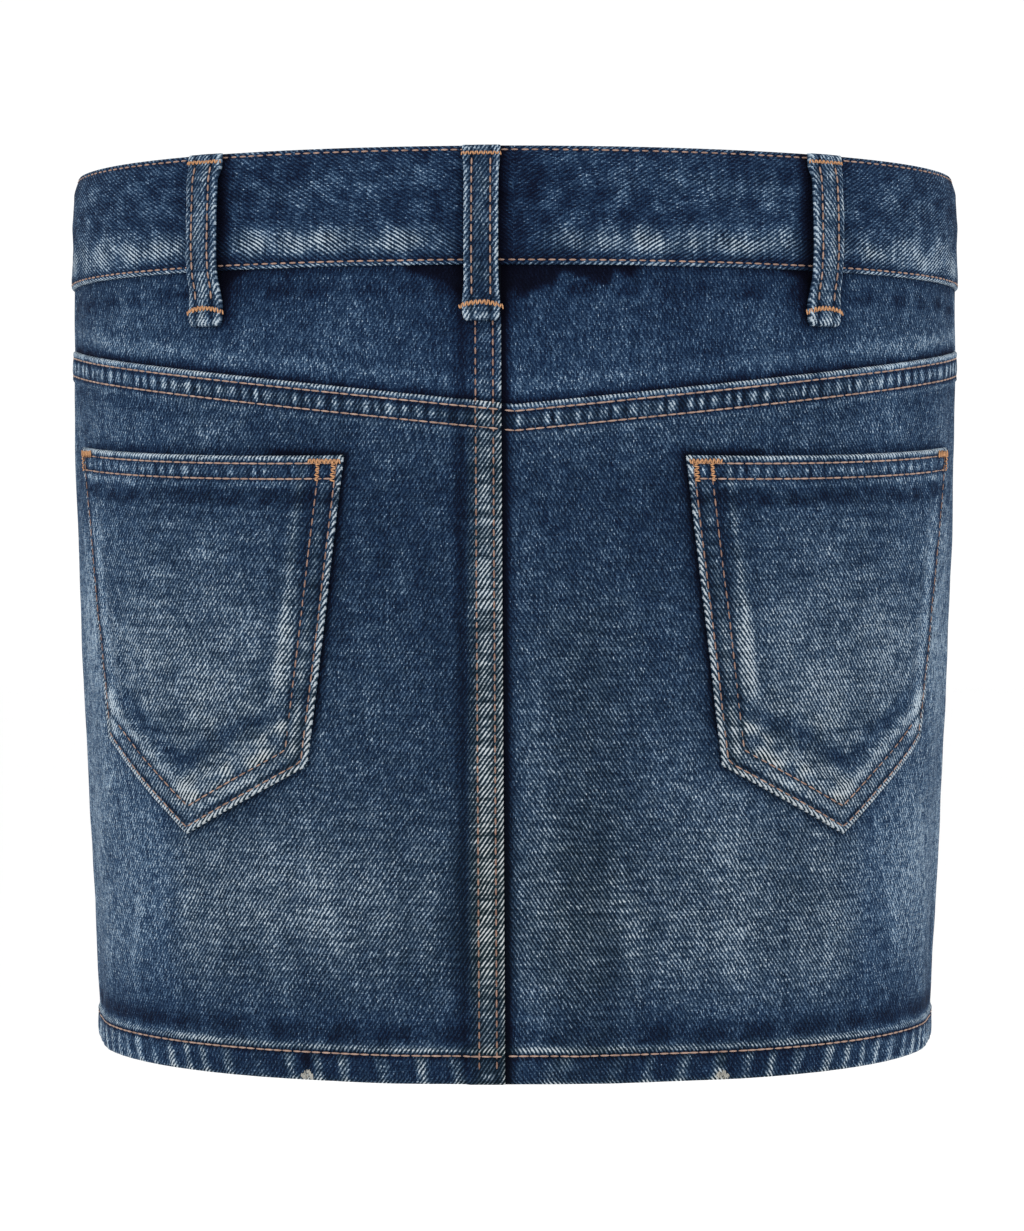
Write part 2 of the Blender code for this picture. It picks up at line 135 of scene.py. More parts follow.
LOOP_BACK_CENTRE = 0.0123
LOOP_BACK_SIDE = 0.1194
LOOP_FRONT_FROM_CENTRE = 0.100
LOOP_SHAPE = np.array(
    (
        # down, inner face's distance out, thickness, width
        (0.0003, 0.0020, 0.0030, 0.0140),
        (0.0060, 0.0020, 0.0030, 0.0136),
        (0.0100, 0.0044, 0.0022, 0.0128),
        (0.0240, 0.0048, 0.0022, 0.0125),
        (0.0380, 0.0047, 0.0022, 0.0125),
        (0.0470, 0.0036, 0.0022, 0.0125),
        (0.0530, 0.0014, 0.0024, 0.0128),
        (0.0580, 0.0004, 0.0030, 0.0138),
        (0.0660, 0.0004, 0.0030, 0.0136),
    )
)
LOOP_HALF = 0.0064  # half a loop's usual width
LOOP_ROW = 0.0034  # its twin rows of sewing, either side of its middle
LOOP_ROW_RANGE = (0.0050, 0.0600)

ZIP_BEHIND_CENTRE = 0.010
ZIP_END = 0.150
TAPE_TOP = 0.0460
TAPE_WIDTH = 0.0143
TAPE_GAP = 0.00015  # between a tape and the chain's middle
TAPE_THICKNESS = 0.0010
CHAIN_DEPTH = 0.0046
TAPE_EDGE_DEPTH = {1: 0.0016, -1: 0.0033}
TAPE_SPREAD = 0.0013
TAPE_SPREAD_END = 0.0560
TEETH_PITCH = 0.0017
TEETH_TOP = 0.0580
TEETH_ASIDE = 0.0009
TOOTH_SIZE = (0.0036, TAPE_THICKNESS + 0.0012, 0.0012)

STITCH_PITCH = 0.00375
STITCH_GAP = 0.0009
CLOSE_GAP = 0.0
LOOSE_GAP = 0.0006
FIRST_STITCH = 0.0006
TACK_PITCH = 0.00078  # a bartack's threads, along its bar
TACK_LEAN = 0.00025
THREAD_RADIUS = 0.00039
SEAM_ROW_NEAR = 0.0026  # the twin rows of a felled seam, from its edge
SEAM_ROW_FAR = 0.0097
SEAM_ROWS = (SEAM_ROW_NEAR, SEAM_ROW_FAR)
HEM_ROW = 0.3345
ROW_START = 0.0008  # how far from a seam a row starts
ROW_END = 0.001
BAND_ROW = 0.0017
END_ROW = 0.002

FRONT_ROWS = (0.0022, 0.0088)  # down the front lap, from its edge
FINE_THREAD = 0.00034  # radii
TACK_THREAD_RADIUS = 0.00036
FRAYED_RADIUS = 0.00024
SEWING_STEP = 0.0004  # rows of sewing are laid out on points this far apart

GRID = 0.0016  # the cloth grid's spacing
PANEL_TOP = BAND_HEIGHT - 0.0010  # the yoke and the front run up behind the waistband's edge

# --- The body's surface ---------------------------------------------------------------------------


def level(down):
    """Half width, depth behind, depth in front and squareness, for an array of heights."""
    heights, values = BODY_LEVELS[:, 0], BODY_LEVELS[:, 1:]
    slopes = np.diff(values, axis=0) / np.diff(heights)[:, None]
    tangents = np.vstack([slopes[:1], (slopes[:-1] + slopes[1:]) / 2, slopes[-1:]])
    index = np.clip(np.searchsorted(heights, down) - 1, 0, len(heights) - 2)
    span = (heights[index + 1] - heights[index])[..., None]
    t = (down - heights[index])[..., None] / span
    mixed = (
        (2 * t**3 - 3 * t**2 + 1) * values[index]
        + (t**3 - 2 * t**2 + t) * span * tangents[index]
        + (3 * t**2 - 2 * t**3) * values[index + 1]
        + (t**3 - t**2) * span * tangents[index + 1]
    )
    return np.moveaxis(mixed, -1, 0)


def measure_quarters():
    """Tables of the turn at even steps round each quarter, for a ladder of heights."""
    heights = np.linspace(-0.004, SKIRT_LENGTH + 0.004, 178)
    steps = np.linspace(0, 1, 301)
    turn = np.linspace(0, np.pi / 2, 1501)
    reach, turns = {}, {}
    for front in (False, True):
        reach[front], turns[front] = [], []
        for down in heights:
            half_width, behind, ahead, squareness = level(np.array(down))
            x = half_width * np.sin(turn) ** (2 / squareness)
            y = (ahead if front else behind) * np.cos(turn) ** (2 / squareness)
            run = np.concatenate([[0], np.cumsum(np.hypot(np.diff(x), np.diff(y)))])
            reach[front].append(run[-1])
            turns[front].append(np.interp(steps * run[-1], run, turn))
        reach[front], turns[front] = np.array(reach[front]), np.array(turns[front])
    return heights, reach, turns


HEIGHTS, REACH, TURNS = measure_quarters()


def to_side(down):
    return np.interp(down, HEIGHTS, REACH[False])


def to_front(down):
    return to_side(down) + np.interp(down, HEIGHTS, REACH[True])


def side_seam(down):
    return to_side(down) - SIDE_SEAM_BEHIND


def front_edge(down):
    """The front lap's edge, past the centre front."""
    return to_front(down) + FRONT_LAP


def band_end(down):
    """The waistband's buttonhole end."""
    return to_front(down) + BAND_BUTTON_END


def bump(distance, half_width):
    """1 in the middle, falling softly to 0 at half_width."""
    near = np.clip(np.abs(distance) / half_width, 0, 1)
    return (1 + np.cos(np.pi * near)) / 2


def ramp(distance, full, none):
    """1 up to `full`, falling evenly to 0 at `none`."""
    return np.clip((none - distance) / (none - full), 0.0, 1.0)


def soft_ramp(distance, full, none):
    share = ramp(distance, full, none)
    return share * share * (3 - 2 * share)


def step_down(distance, end):
    """1 as far as a turning's end, then a soft step down to 0."""
    return soft_ramp(distance, end, end + LAP_STEP)


def glow(distance, width):
    """1 at an edge, fading away from it."""
    return np.exp(-((distance / width) ** 2))


def lines(distance, table):
    """Soft lines beside an edge: the table's amounts, distances from the edge and widths."""
    return sum(amount * glow(distance - place, width) for amount, place, width in table)


def spots(around, down, table):
    """Soft spots: the table's amounts, places round and down, and half widths and heights."""
    return sum(
        amount * bump(around - across, half_width) * bump(down - below, half_height)
        for amount, across, below, half_width, half_height in table
    )


def waves(around, down, size, seed, stretch=1.0):
    """Smooth noise from -1 to 1, about `size` across, `stretch` times longer down the cloth."""
    draw = random.Random(seed)
    total = 0.0
    for _ in range(7):
        heading = draw.uniform(0, math.pi)
        length = size * draw.uniform(0.7, 1.6)
        phase = draw.uniform(0, 2 * math.pi)
        along = around * math.cos(heading) + down / stretch * math.sin(heading)
        total = total + np.sin(2 * np.pi * along / length + phase)
    return total / 3.5


def folds(around, down):
    total = np.zeros(np.broadcast(around, down).shape)
    for place, start, end, half_width, height in SOFT_FOLDS:
        fade_in = 1 - ramp(down - start, 0.0, 0.06)
        total += height * bump(around - place, half_width) * fade_in * (down <= end + 1e-6)
    return total


# Creases pressed in by wear: soft ridges and troughs between two pattern places.
CREASES = (
    # around, down, to around, to down, half width, height
    (0.030, 0.082, 0.095, 0.066, 0.0050, 0.00045),
    (0.020, 0.070, 0.060, 0.058, 0.0040, -0.00035),
    (-0.026, 0.079, -0.082, 0.070, 0.0050, 0.00045),
    (-0.020, 0.066, -0.075, 0.056, 0.0045, -0.00035),
    (0.140, 0.084, 0.200, 0.060, 0.0050, 0.00040),
    (-0.135, 0.086, -0.195, 0.064, 0.0050, 0.00040),
    (0.035, 0.118, 0.058, 0.180, 0.0060, -0.00050),
    (-0.040, 0.125, -0.056, 0.215, 0.0070, -0.00050),
    (0.028, 0.240, 0.036, 0.325, 0.0070, 0.00055),
    (-0.050, 0.255, -0.040, 0.328, 0.0070, 0.00055),
    (0.095, 0.268, 0.070, 0.325, 0.0080, -0.00045),
    (-0.105, 0.270, -0.085, 0.326, 0.0080, -0.00045),
    (0.150, 0.270, 0.165, 0.325, 0.0060, 0.00045),
    (-0.155, 0.262, -0.168, 0.322, 0.0060, 0.00045),
    (0.110, 0.285, 0.140, 0.300, 0.0060, 0.00030),
    (0.052, 0.235, 0.072, 0.262, 0.0055, -0.00035),
    (-0.060, 0.240, -0.078, 0.268, 0.0055, -0.00035),
    # Sitting creases across the front hips, fanning out from the fly.
    (0.405, 0.098, 0.300, 0.080, 0.0060, 0.00080),
    (0.408, 0.114, 0.290, 0.108, 0.0065, 0.00085),
    (0.412, 0.131, 0.296, 0.136, 0.0065, 0.00080),
    (0.414, 0.150, 0.310, 0.164, 0.0060, 0.00060),
    (-0.400, 0.100, -0.296, 0.084, 0.0060, 0.00080),
    (-0.405, 0.118, -0.286, 0.113, 0.0065, 0.00085),
    (-0.404, 0.137, -0.300, 0.143, 0.0065, 0.00075),
    (-0.410, 0.156, -0.316, 0.171, 0.0060, 0.00060),
    (0.330, 0.225, 0.345, 0.325, 0.0090, 0.00060),
    (-0.340, 0.215, -0.350, 0.322, 0.0090, 0.00060),
    (0.250, 0.180, 0.262, 0.300, 0.0080, -0.00050),
    (-0.255, 0.170, -0.262, 0.290, 0.0080, -0.00050),
)


def crease(around, down):
    """How far the worn-in creases move the cloth."""
    around, down = np.broadcast_arrays(around, down)
    total = np.zeros(around.shape)
    for a0, d0, a1, d1, half_width, height in CREASES:
        across, along = a1 - a0, d1 - d0
        length_squared = across**2 + along**2
        share = ((around - a0) * across + (down - d0) * along) / length_squared
        inside = np.clip(share, 0, 1)
        away = np.hypot(around - a0 - inside * across, down - d0 - inside * along)
        ends = bump(inside - 0.5, 0.62)
        total += height * ends * bump(away, half_width)
    total += 0.00022 * waves(around, down, 0.034, 11, 1.6)
    total += 0.00010 * waves(around, down, 0.013, 12, 1.3)
    return total * ramp(0.045 - down, 0.0, 0.012) * ramp(down - 0.330, 0.0, 0.012)


def skin(around, down, out=0.0, with_normals=False):
    """Points of the body's surface at these pattern places, moved away from the body."""
    around, down, out = (np.array(a, float) for a in np.broadcast_arrays(around, down, out))
    half_girth, side_at = to_front(down), to_side(down)
    out = out + folds(around, down) + crease(around, down)
    around = np.where(around > half_girth, around - 2 * half_girth, around)
    around = np.where(around < -half_girth, around + 2 * half_girth, around)
    side = np.where(around >= 0, 1.0, -1.0)
    distance = np.abs(around)
    front = distance > side_at
    share = np.where(front, (half_girth - distance) / (half_girth - side_at), distance / side_at)
    row = np.interp(down, HEIGHTS, np.arange(len(HEIGHTS)))
    steps = TURNS[False].shape[1] - 1
    column = np.clip(share, 0, 1) * steps
    row_low = np.clip(row.astype(int), 0, len(HEIGHTS) - 2)
    column_low = np.clip(column.astype(int), 0, steps - 1)
    turn = np.zeros(around.shape)
    for row_step in (0, 1):
        for column_step in (0, 1):
            weight = np.abs(1 - row_step - (row - row_low))
            weight = weight * np.abs(1 - column_step - (column - column_low))
            at = (row_low + row_step, column_low + column_step)
            turn += weight * np.where(front, TURNS[True][at], TURNS[False][at])
    half_width, behind, ahead, squareness = level(down)
    depth = np.where(front, ahead, behind)
    power = 2 / squareness
    x = half_width * np.sin(turn) ** power
    y = depth * np.clip(np.cos(turn), 0, 1) ** power
    normal_x = side * (x / half_width) ** (squareness - 1) / half_width
    normal_y = np.where(front, -1, 1) * (y / depth) ** (squareness - 1) / depth
    size = np.hypot(normal_x, normal_y)
    normals = np.stack([normal_x / size, normal_y / size, np.zeros(size.shape)], axis=-1)
    points = np.stack([side * x, np.where(front, -y, y), -down], axis=-1)
    points = points + normals * out[..., None]
    return (points, normals) if with_normals else points


# --- Cloth on a grid ------------------------------------------------------------------------------


def stations(first, last, count):
    """Fixed distances after the start and before the end, with an even run between them."""
    even = np.linspace(0, 1, count + 2)[1:-1]
    near, far = np.array(first), np.array(last)[::-1]
    shift = np.concatenate([near, near[-1] * (1 - even) - far[0] * even, -far])
    share = np.concatenate([np.zeros(len(near)), even, np.ones(len(far))])
    return shift, share


def along(run, start, end):
    """The stations' places between start and end; the run is on the arrays' last axis."""
    shift, share = run
    way = np.where(end >= start, 1.0, -1.0)
    return start + way * shift + share * (end - start)


EDGE = (0.0, 0.0002, 0.0006, 0.0012, 0.0020)


def fine(width):
    """How many even stations a stretch of this width takes."""
    return int(width / GRID)


def rounded(distance, radius):
    """How far a folded edge drops, this far in from it."""
    inside = np.clip(1 - distance / radius, 0, 1)
    return radius * (1 - np.sqrt(1 - inside**2))


def new_piece(name, shape):
    """An object in the scene, made of a bmesh that is done with."""
    mesh = bpy.data.meshes.new(name)
    shape.to_mesh(mesh)
    shape.free()
    piece = bpy.data.objects.new(name, mesh)
    bpy.context.scene.collection.objects.link(piece)
    return piece


PLAIN = {"shade_and_fade": 0.235, "worn": 0.2, "pucker": 0.0}  # denim that nothing has rubbed


def cloth(name, outer, inner, pattern, paint, materials, cut=None):
    """A closed shell of cloth from grids of outer and inner points.

    pattern is each point's place in the weave, paint holds point values that the denim reads, and
    cut marks the grid cells that are left out.
    """
    rows, columns = outer.shape[:2]
    shape = bmesh.new()
    bmesh.ops.create_grid(shape, x_segments=columns - 1, y_segments=rows - 1, size=0.5)
    if cut is not None:
        gone = []
        for face in shape.faces:
            middle = face.calc_center_median()
            cell = int((0.5 - middle.y) * (rows - 1)), int((middle.x + 0.5) * (columns - 1))
            if cut[cell]:
                gone.append(face)
        bmesh.ops.delete(shape, geom=gone, context="FACES")
    pushed = bmesh.ops.extrude_face_region(shape, geom=shape.faces[:], use_keep_orig=True)
    inside = [item for item in pushed["geom"] if isinstance(item, bmesh.types.BMVert)]
    bmesh.ops.translate(shape, vec=(0, 0, -1), verts=inside)
    bmesh.ops.recalc_face_normals(shape, faces=shape.faces[:])
    for face in shape.faces:
        face.smooth = True
        face.material_index = int(all(vert.co.z < -0.5 for vert in face.verts))
    across = outer[rows // 2, 1:] - outer[rows // 2, :-1]
    up = outer[rows // 2 - 1, :-1] - outer[rows // 2, :-1]
    away = (outer - inner)[rows // 2, :-1]
    if np.sum(np.cross(across, up) * away) < 0:
        bmesh.ops.reverse_faces(shape, faces=shape.faces[:])
    piece = new_piece(name, shape)
    mesh = piece.data

    places = np.empty(len(mesh.vertices) * 3)
    mesh.vertices.foreach_get("co", places)
    places = places.reshape(-1, 3)
    column = np.rint((places[:, 0] + 0.5) * (columns - 1)).astype(int)
    row = np.rint((0.5 - places[:, 1]) * (rows - 1)).astype(int)
    is_inner = places[:, 2] < -0.5
    points = np.where(is_inner[:, None], inner[row, column], outer[row, column])
    mesh.vertices.foreach_set("co", points.ravel())
    corner = np.empty(len(mesh.loops), int)
    mesh.loops.foreach_get("vertex_index", corner)
    layer = mesh.uv_layers.new(name="pattern")
    layer.data.foreach_set("uv", pattern[row, column][corner].ravel())
    for word, plain in PLAIN.items():
        attribute = mesh.attributes.new(word, "FLOAT", "POINT")
        values = np.broadcast_to(paint.get(word, plain), outer.shape[:2])[row, column]
        values = np.where(is_inner, plain, values)
        attribute.data.foreach_set("value", values.astype(np.float32))
    mesh.set_sharp_from_angle(angle=math.radians(60))
    mesh.update()
    for material in materials:
        mesh.materials.append(material)
    return piece


def paint_layers(shade_and_fade, worn, pucker=0.0):
    """Point values for the denim, from the logarithm of its lightness: its fade together with its painted
    shade and highlights.
    """
    return {"shade_and_fade": np.exp(shade_and_fade), "worn": np.clip(worn, 0, 1), "pucker": pucker}


def weave_place(around, down):
    """Pattern places as seen from outside: to the right, and up."""
    return np.stack(np.broadcast_arrays(-around, -down), axis=-1)


def add_cloth(node, faces, places, paint, materials, rests_on, cut=None):
    """The cut piece of denim that stands for a solid.

    faces are its grids of outer and inner points, places where these lie on the body, and paint its fade
    with its painted shade, worn grey and pucker.
    """
    kind = node.split("_")[0]
    name = node.replace(kind, kind + "_cloth", 1)
    piece = cloth(name, *faces, weave_place(*places), paint_layers(*paint), materials, cut)
    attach(piece, "root")
    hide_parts(node)
    list(rests_on)
    return piece


def add_trim(name, shape, material):
    """A small piece that rides along and replaces nothing."""
    piece = new_piece(name, shape)
    piece.data.materials.append(material)
    piece.data.shade_smooth()
    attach(piece, "root")
    return piece


# --- Materials ------------------------------------------------------------------------------------


def tone(red, green, blue):
    """A display colour from 0 to 255 as the shader's linear colour."""
    linear = [
        c / 12.92 if c <= 0.04045 else ((c + 0.055) / 1.055) ** 2.4
        for c in (red / 255, green / 255, blue / 255)
    ]
    return (*linear, 1.0)


class Finish:
    """A material in the making: its shader, and the nodes that work out its looks."""

    def __init__(self, name, roughness, **values):
        self.material = bpy.data.materials.new(name)
        self.material.use_nodes = True
        self.tree = self.material.node_tree
        self.shader = self.tree.nodes["Principled BSDF"]
        values = {"Roughness": roughness, "Sheen Roughness": 0.6, **values}
        for word, value in values.items():
            self.feed(self.shader.inputs[word], value)

    def feed(self, socket, value):
        """Give a socket a value of its own or another node's result."""
        if isinstance(value, bpy.types.NodeSocket):
            self.tree.links.new(value, socket)
        else:
            socket.default_value = value

    def add(self, kind, *values, **settings):
        """A node of this kind, with its settings made and its first sockets fed."""
        node = self.tree.nodes.new("ShaderNode" + kind)
        for word, setting in settings.items():
            setattr(node, word, setting)
        for socket, value in zip(node.inputs, values):
            self.feed(socket, value)
        return node

    def calc(self, operation, *values):
        return self.add("Math", *values, operation=operation).outputs[0]

    def times(self, first, second):
        return self.calc("MULTIPLY", first, second)

    def scaled(self, value, scale, base):
        """The value times scale, plus base."""
        return self.calc("MULTIPLY_ADD", value, scale, base)

    def vector(self, x, y):
        return self.add("CombineXYZ", x, y).outputs[0]

    def pattern(self):
        """The cloth's own places, and their two parts: to the right, and up."""
        both = self.add("UVMap", uv_map="pattern").outputs[0]
        return both, *self.add("SeparateXYZ", both).outputs[:2]

    def place(self):
        return self.add("TexCoord").outputs["Object"]

    def painted(self, word):
        return self.add("Attribute", attribute_name=word).outputs["Fac"]

    def noise(self, vector, scale, detail=2.0):
        node = self.add("TexNoise")
        for word, value in (("Vector", vector), ("Scale", scale), ("Detail", detail)):
            self.feed(node.inputs[word], value)
        return node.outputs[0]

    def spread(self, value, scale):
        """Noise centred on nothing, about one unit either way."""
        return self.scaled(value, scale, -0.5 * scale)

    def ramp(self, factor, stops):
        node = self.add("ValToRGB", factor)
        ladder = node.color_ramp.elements
        ladder[0].position, ladder[0].color = stops[0]
        ladder[1].position, ladder[1].color = stops[-1]
        for place, colour in stops[1:-1]:
            ladder.new(place).color = colour
        return node.outputs[0]

    def mix(self, factor, first, second):
        node = self.add("Mix", data_type="RGBA")
        for socket, value in zip((node.inputs[0], *node.inputs[6:8]), (factor, first, second)):
            self.feed(socket, value)
        return node.outputs[2]

    def finish(self, colour, height, strength, distance):
        """Give the shader its colour and its fine relief; returns the material."""
        bump_node = self.add("Bump")
        for word, value in (("Strength", strength), ("Distance", distance), ("Height", height)):
            self.feed(bump_node.inputs[word], value)
        self.feed(self.shader.inputs["Normal"], bump_node.outputs[0])
        self.feed(self.shader.inputs["Base Color"], colour)
        return self.material


LIT = 1.12  # how brightly the studio lights cloth that faces it
MM = 1000.0
YARN = 0.389  # warp yarn spacing, mm
REPEAT = 2.31  # four picks of the three-up, one-down twill, mm
FLOAT = 0.72  # a float's share of the repeat
TWILL_LINE = (0.559, 0.829)  # the twill line's lead, to the side and up
COCKLE = 5.2  # spacing of a seam's cockles, mm
RIB = 0.0011  # spacing of the zip ribbon's ribs, metres
RIBBON_PICK = 0.0006
ELSEWHERE = (531.0, -277.0, 0.0)  # far enough off for a separate draw of noise


def dyed(red, green, blue):
    """A display colour as it should look in the studio's light."""
    return tuple(c / LIT for c in tone(red, green, blue)[:3]) + (1.0,)


INDIGO = (
    (0.00, dyed(2, 2, 12)),
    (0.08, dyed(12, 19, 39)),
    (0.15, dyed(17, 35, 60)),
    (0.25, dyed(32, 52, 79)),
    (0.35, dyed(47, 70, 97)),
    (0.45, dyed(66, 91, 118)),
    (0.60, dyed(97, 122, 148)),
    (0.80, dyed(139, 162, 184)),
    (1.00, dyed(181, 199, 213)),
)
WORN_PALE = (
    (0.00, dyed(4, 12, 18)),
    (0.15, dyed(19, 36, 43)),
    (0.25, dyed(39, 53, 60)),
    (0.45, dyed(82, 93, 97)),
    (0.60, dyed(114, 123, 126)),
    (0.80, dyed(156, 163, 166)),
    (1.00, dyed(199, 203, 204)),
)
INSIDE = (
    (0.00, dyed(60, 70, 90)),
    (0.30, dyed(120, 130, 148)),
    (0.55, dyed(165, 172, 182)),
    (1.00, dyed(215, 217, 218)),
)


def twill(denim, across, up, worn, fresh, lean):
    """Each warp yarn floats over three picks, and its floats climb by one pick a yarn.

    Where the cloth is worn the floats run together into long smooth lines.  Returns the yarn's
    number, the pick's and how far the float stands up.
    """
    times, scaled = denim.times, denim.scaled
    yarn = denim.calc("DIVIDE", across, YARN)
    column, part = denim.calc("FLOOR", yarn), denim.calc("FRACT", yarn)
    roundness = denim.calc("SINE", times(part, math.pi))
    smooth = scaled(worn, 0.95, 0.10)
    step = scaled(denim.calc("SUBTRACT", part, 0.5), smooth, column)
    climb = times(step, -0.25 * lean)
    pick = denim.calc("ADD", denim.calc("DIVIDE", up, REPEAT), climb)
    ragged = denim.noise(denim.vector(times(column, 3.7), up), 0.60, 1.0)
    pick = denim.calc("ADD", times(ragged, scaled(worn, -0.95, 0.95)), pick)
    along_float = denim.calc("MINIMUM", denim.calc("DIVIDE", denim.calc("FRACT", pick), FLOAT), 1.0)
    crown = denim.calc("SINE", times(along_float, math.pi))
    dent = scaled(fresh, 0.45, 0.10)
    crown = times(crown, scaled(roundness, dent, scaled(dent, -0.637, 0.92)))
    return column, denim.calc("FLOOR", pick), crown


def cockles(denim, right, up):
    """Between rows of sewing the cloth cockles, and only its tops are rubbed pale.

    That is across a seam that runs round the body where pucker is positive, and along an upright
    one where it is negative.
    """
    times, scaled, noise = denim.times, denim.scaled, denim.noise
    pucker = denim.painted("pucker")
    upright = denim.calc("LESS_THAN", pucker, 0.0)
    run = scaled(upright, up, times(denim.calc("SUBTRACT", 1.0, upright), right))
    uneven = denim.spread(noise(denim.vector(run, 0.5), 0.10, 1.0), 9.0)
    tops = denim.calc("SINE", scaled(run, 2 * math.pi / COCKLE, uneven))
    strong = scaled(noise(denim.vector(run, 9.5), 0.15, 1.0), 3.2, -0.60)
    return times(times(denim.calc("ABSOLUTE", pucker), tops), strong)


def make_denim(name, lean, turned=False, inside=False):
    """Worn indigo twill.  lean is 1 where the twill rises to the right and -1 to the left."""
    denim = Finish(name, roughness=0.95, **{"Specular IOR Level": 0.06})
    times, scaled, noise = denim.times, denim.scaled, denim.noise
    right, up = (times(socket, MM) for socket in denim.pattern()[1:])
    if turned:
        right, up = times(up, -1.0), right
    place = denim.vector(right, up)
    # The painted lightness: the cloth's fade together with its painted shade and highlights.
    shade_and_fade, worn = denim.painted("shade_and_fade"), denim.painted("worn")
    fresh = denim.calc("SUBTRACT", 1.0, worn)
    across = denim.calc("ADD", right, denim.spread(noise(place, 0.09, 1.0), 1.8))
    column, pick, crown = twill(denim, across, up, worn, fresh, lean)

    def stretched(across, along, shrink_across, shrink_along, scale):
        """Noise drawn out into streaks."""
        at = denim.vector(times(across, shrink_across), times(along, shrink_along))
        return denim.spread(noise(at, 1.0, 1.0), scale)

    odd = denim.add("TexWhiteNoise", noise_dimensions="2D")
    denim.feed(odd.inputs["Vector"], denim.vector(column, pick))
    side, rise = TWILL_LINE
    with_line = scaled(up, rise * lean, times(right, side))
    cross_line = scaled(up, -side * lean, times(right, rise))
    fleck = noise(place, 2.1, 1.0)
    weave = 0.0
    for least, more, part in (
        # share at least, share more where worn, what is seen of the weave
        (0.41, 1.05, denim.spread(crown, 2.2)),
        (0.32, -0.30, denim.spread(odd.outputs["Value"], 3.4)),
        (0.10, 0.00, stretched(column, up, 7.31, 0.07, 5.0)),
        (0.20, 0.26, stretched(right, up, 0.16, 1.7, 5.0)),
        (0.34, -0.26, denim.spread(fleck, 6.0)),
        (0.06, 0.26, stretched(with_line, cross_line, 0.32, 1.30, 6.0)),
        (0.05, 0.40, stretched(right, up, 0.045, 0.62, 6.0)),
    ):
        weave = scaled(part, scaled(worn, more, least), weave)
    elsewhere = denim.add("VectorMath", place, ELSEWHERE, operation="ADD").outputs[0]
    specks = denim.calc("MAXIMUM", denim.calc("SUBTRACT", noise(elsewhere, 2.1, 0.0), 0.60), 0.0)
    weave = scaled(times(specks, fresh), 4.0, weave)

    crisp = scaled(noise(place, 0.12, 1.0), 0.4, 0.80)
    contrast = times(scaled(denim.calc("MAXIMUM", shade_and_fade, 0.3), 0.5, 0.70), crisp)
    swing = scaled(weave, contrast, cockles(denim, right, up))
    light = times(shade_and_fade, denim.calc("EXPONENT", swing))
    if inside:
        colour = denim.ramp(scaled(light, 0.6, 0.22), INSIDE)
    else:
        # The waistband's threads stay bluer than the panels' where they are worn.
        least_grey, most_grey = (-0.10, 0.62) if turned else (0.0, 1.0)
        patches = denim.spread(noise(place, 0.21, 1.0), 0.35)
        grey = denim.calc("ADD", scaled(worn, most_grey, least_grey), patches)
        colour = denim.mix(grey, denim.ramp(light, INDIGO), denim.ramp(light, WORN_PALE))
    return denim.finish(colour, scaled(fleck, 0.4, crown), 0.6, 0.00020)


def make_thread(name, dark, light, roughness=0.55, patches=260.0):
    """Cotton-wrapped sewing thread."""
    thread = Finish(name, roughness, **{"Specular IOR Level": 0.15})
    place = thread.place()
    blotch = thread.times(thread.noise(place, patches), 0.7)
    fibre = thread.noise(place, 2600.0)
    colour = thread.ramp(thread.scaled(fibre, 0.5, blotch), ((0.25, dark), (0.85, light)))
    return thread.finish(colour, fibre, 0.6, 0.00012)


def make_tape_weave(name):
    """The zip's navy ribbon, with its fine lengthwise ribs."""
    ribbon = Finish(name, 0.7, **{"Sheen Weight": 0.2})
    place, right, up = ribbon.pattern()
    ribs = ribbon.calc("SINE", ribbon.times(right, 2 * math.pi / RIB))
    picks = ribbon.calc("SINE", ribbon.times(up, 2 * math.pi / RIBBON_PICK))
    height = ribbon.scaled(ribbon.times(ribs, picks), 0.35, 0.5)
    share = ribbon.scaled(ribbon.noise(place, 900.0), 0.4, ribbon.times(height, 0.6))
    colour = ribbon.ramp(share, ((0.2, tone(16, 20, 34)), (0.9, tone(44, 52, 76))))
    return ribbon.finish(colour, height, 0.5, 0.00015)


def make_brass(name):
    """Antiqued brass, darker and rougher where it has tarnished."""
    brass = Finish(name, 0.35, Metallic=1.0)
    place = brass.place()
    tarnish = brass.noise(place, 420.0, 4.0)
    colour = brass.ramp(tarnish, ((0.35, tone(120, 92, 58)), (0.68, tone(196, 160, 112))))
    brass.feed(brass.shader.inputs["Roughness"], brass.scaled(tarnish, -0.5, 0.62))
    return brass.finish(colour, brass.noise(place, 2400.0), 0.2, 0.00005)


DENIM = {1: make_denim("denim_left", 1), -1: make_denim("denim_right", -1)}
BAND_DENIM = {
    1: make_denim("denim_band_left", 1, turned=True),
    -1: make_denim("denim_band_right", -1, turned=True),
}
DENIM_INSIDE = {
    1: make_denim("denim_inside_left", -1, inside=True),
    -1: make_denim("denim_inside_right", 1, inside=True),
}
PANEL_DENIM = {side: (DENIM[side], DENIM_INSIDE[side]) for _, side in SIDES}
THREAD = make_thread("thread_tan", dyed(104, 77, 65), dyed(197, 168, 152))
LOOP_THREAD = make_thread("thread_faded", dyed(92, 67, 57), dyed(192, 160, 143))
DARK_THREAD = make_thread("thread_brown", dyed(78, 54, 46), dyed(176, 142, 126))
FRAY = make_thread("frayed_cotton", dyed(118, 118, 112), dyed(192, 190, 182), 0.8)
TACK_THREAD = make_thread("thread_orange", dyed(112, 67, 40), dyed(232, 178, 131), 0.5, 1500.0)
TAPE = make_tape_weave("zip_ribbon")
BRASS = make_brass("antique_brass")

# --- Panels ---------------------------------------------------------------------------------------


def yoke_line(around):
    """How far down the yoke's seam lies."""
    return YOKE_AT_CENTRE - YOKE_SLOPE * np.abs(around) - YOKE_CURVE * around**2


def back_lap_edge(down):
    """The centre back lap's fold, which runs a little to the left of the middle."""
    share = down / SKIRT_LENGTH
    return BACK_LAP_EDGE_TOP + (BACK_LAP_EDGE_HEM - BACK_LAP_EDGE_TOP) * share


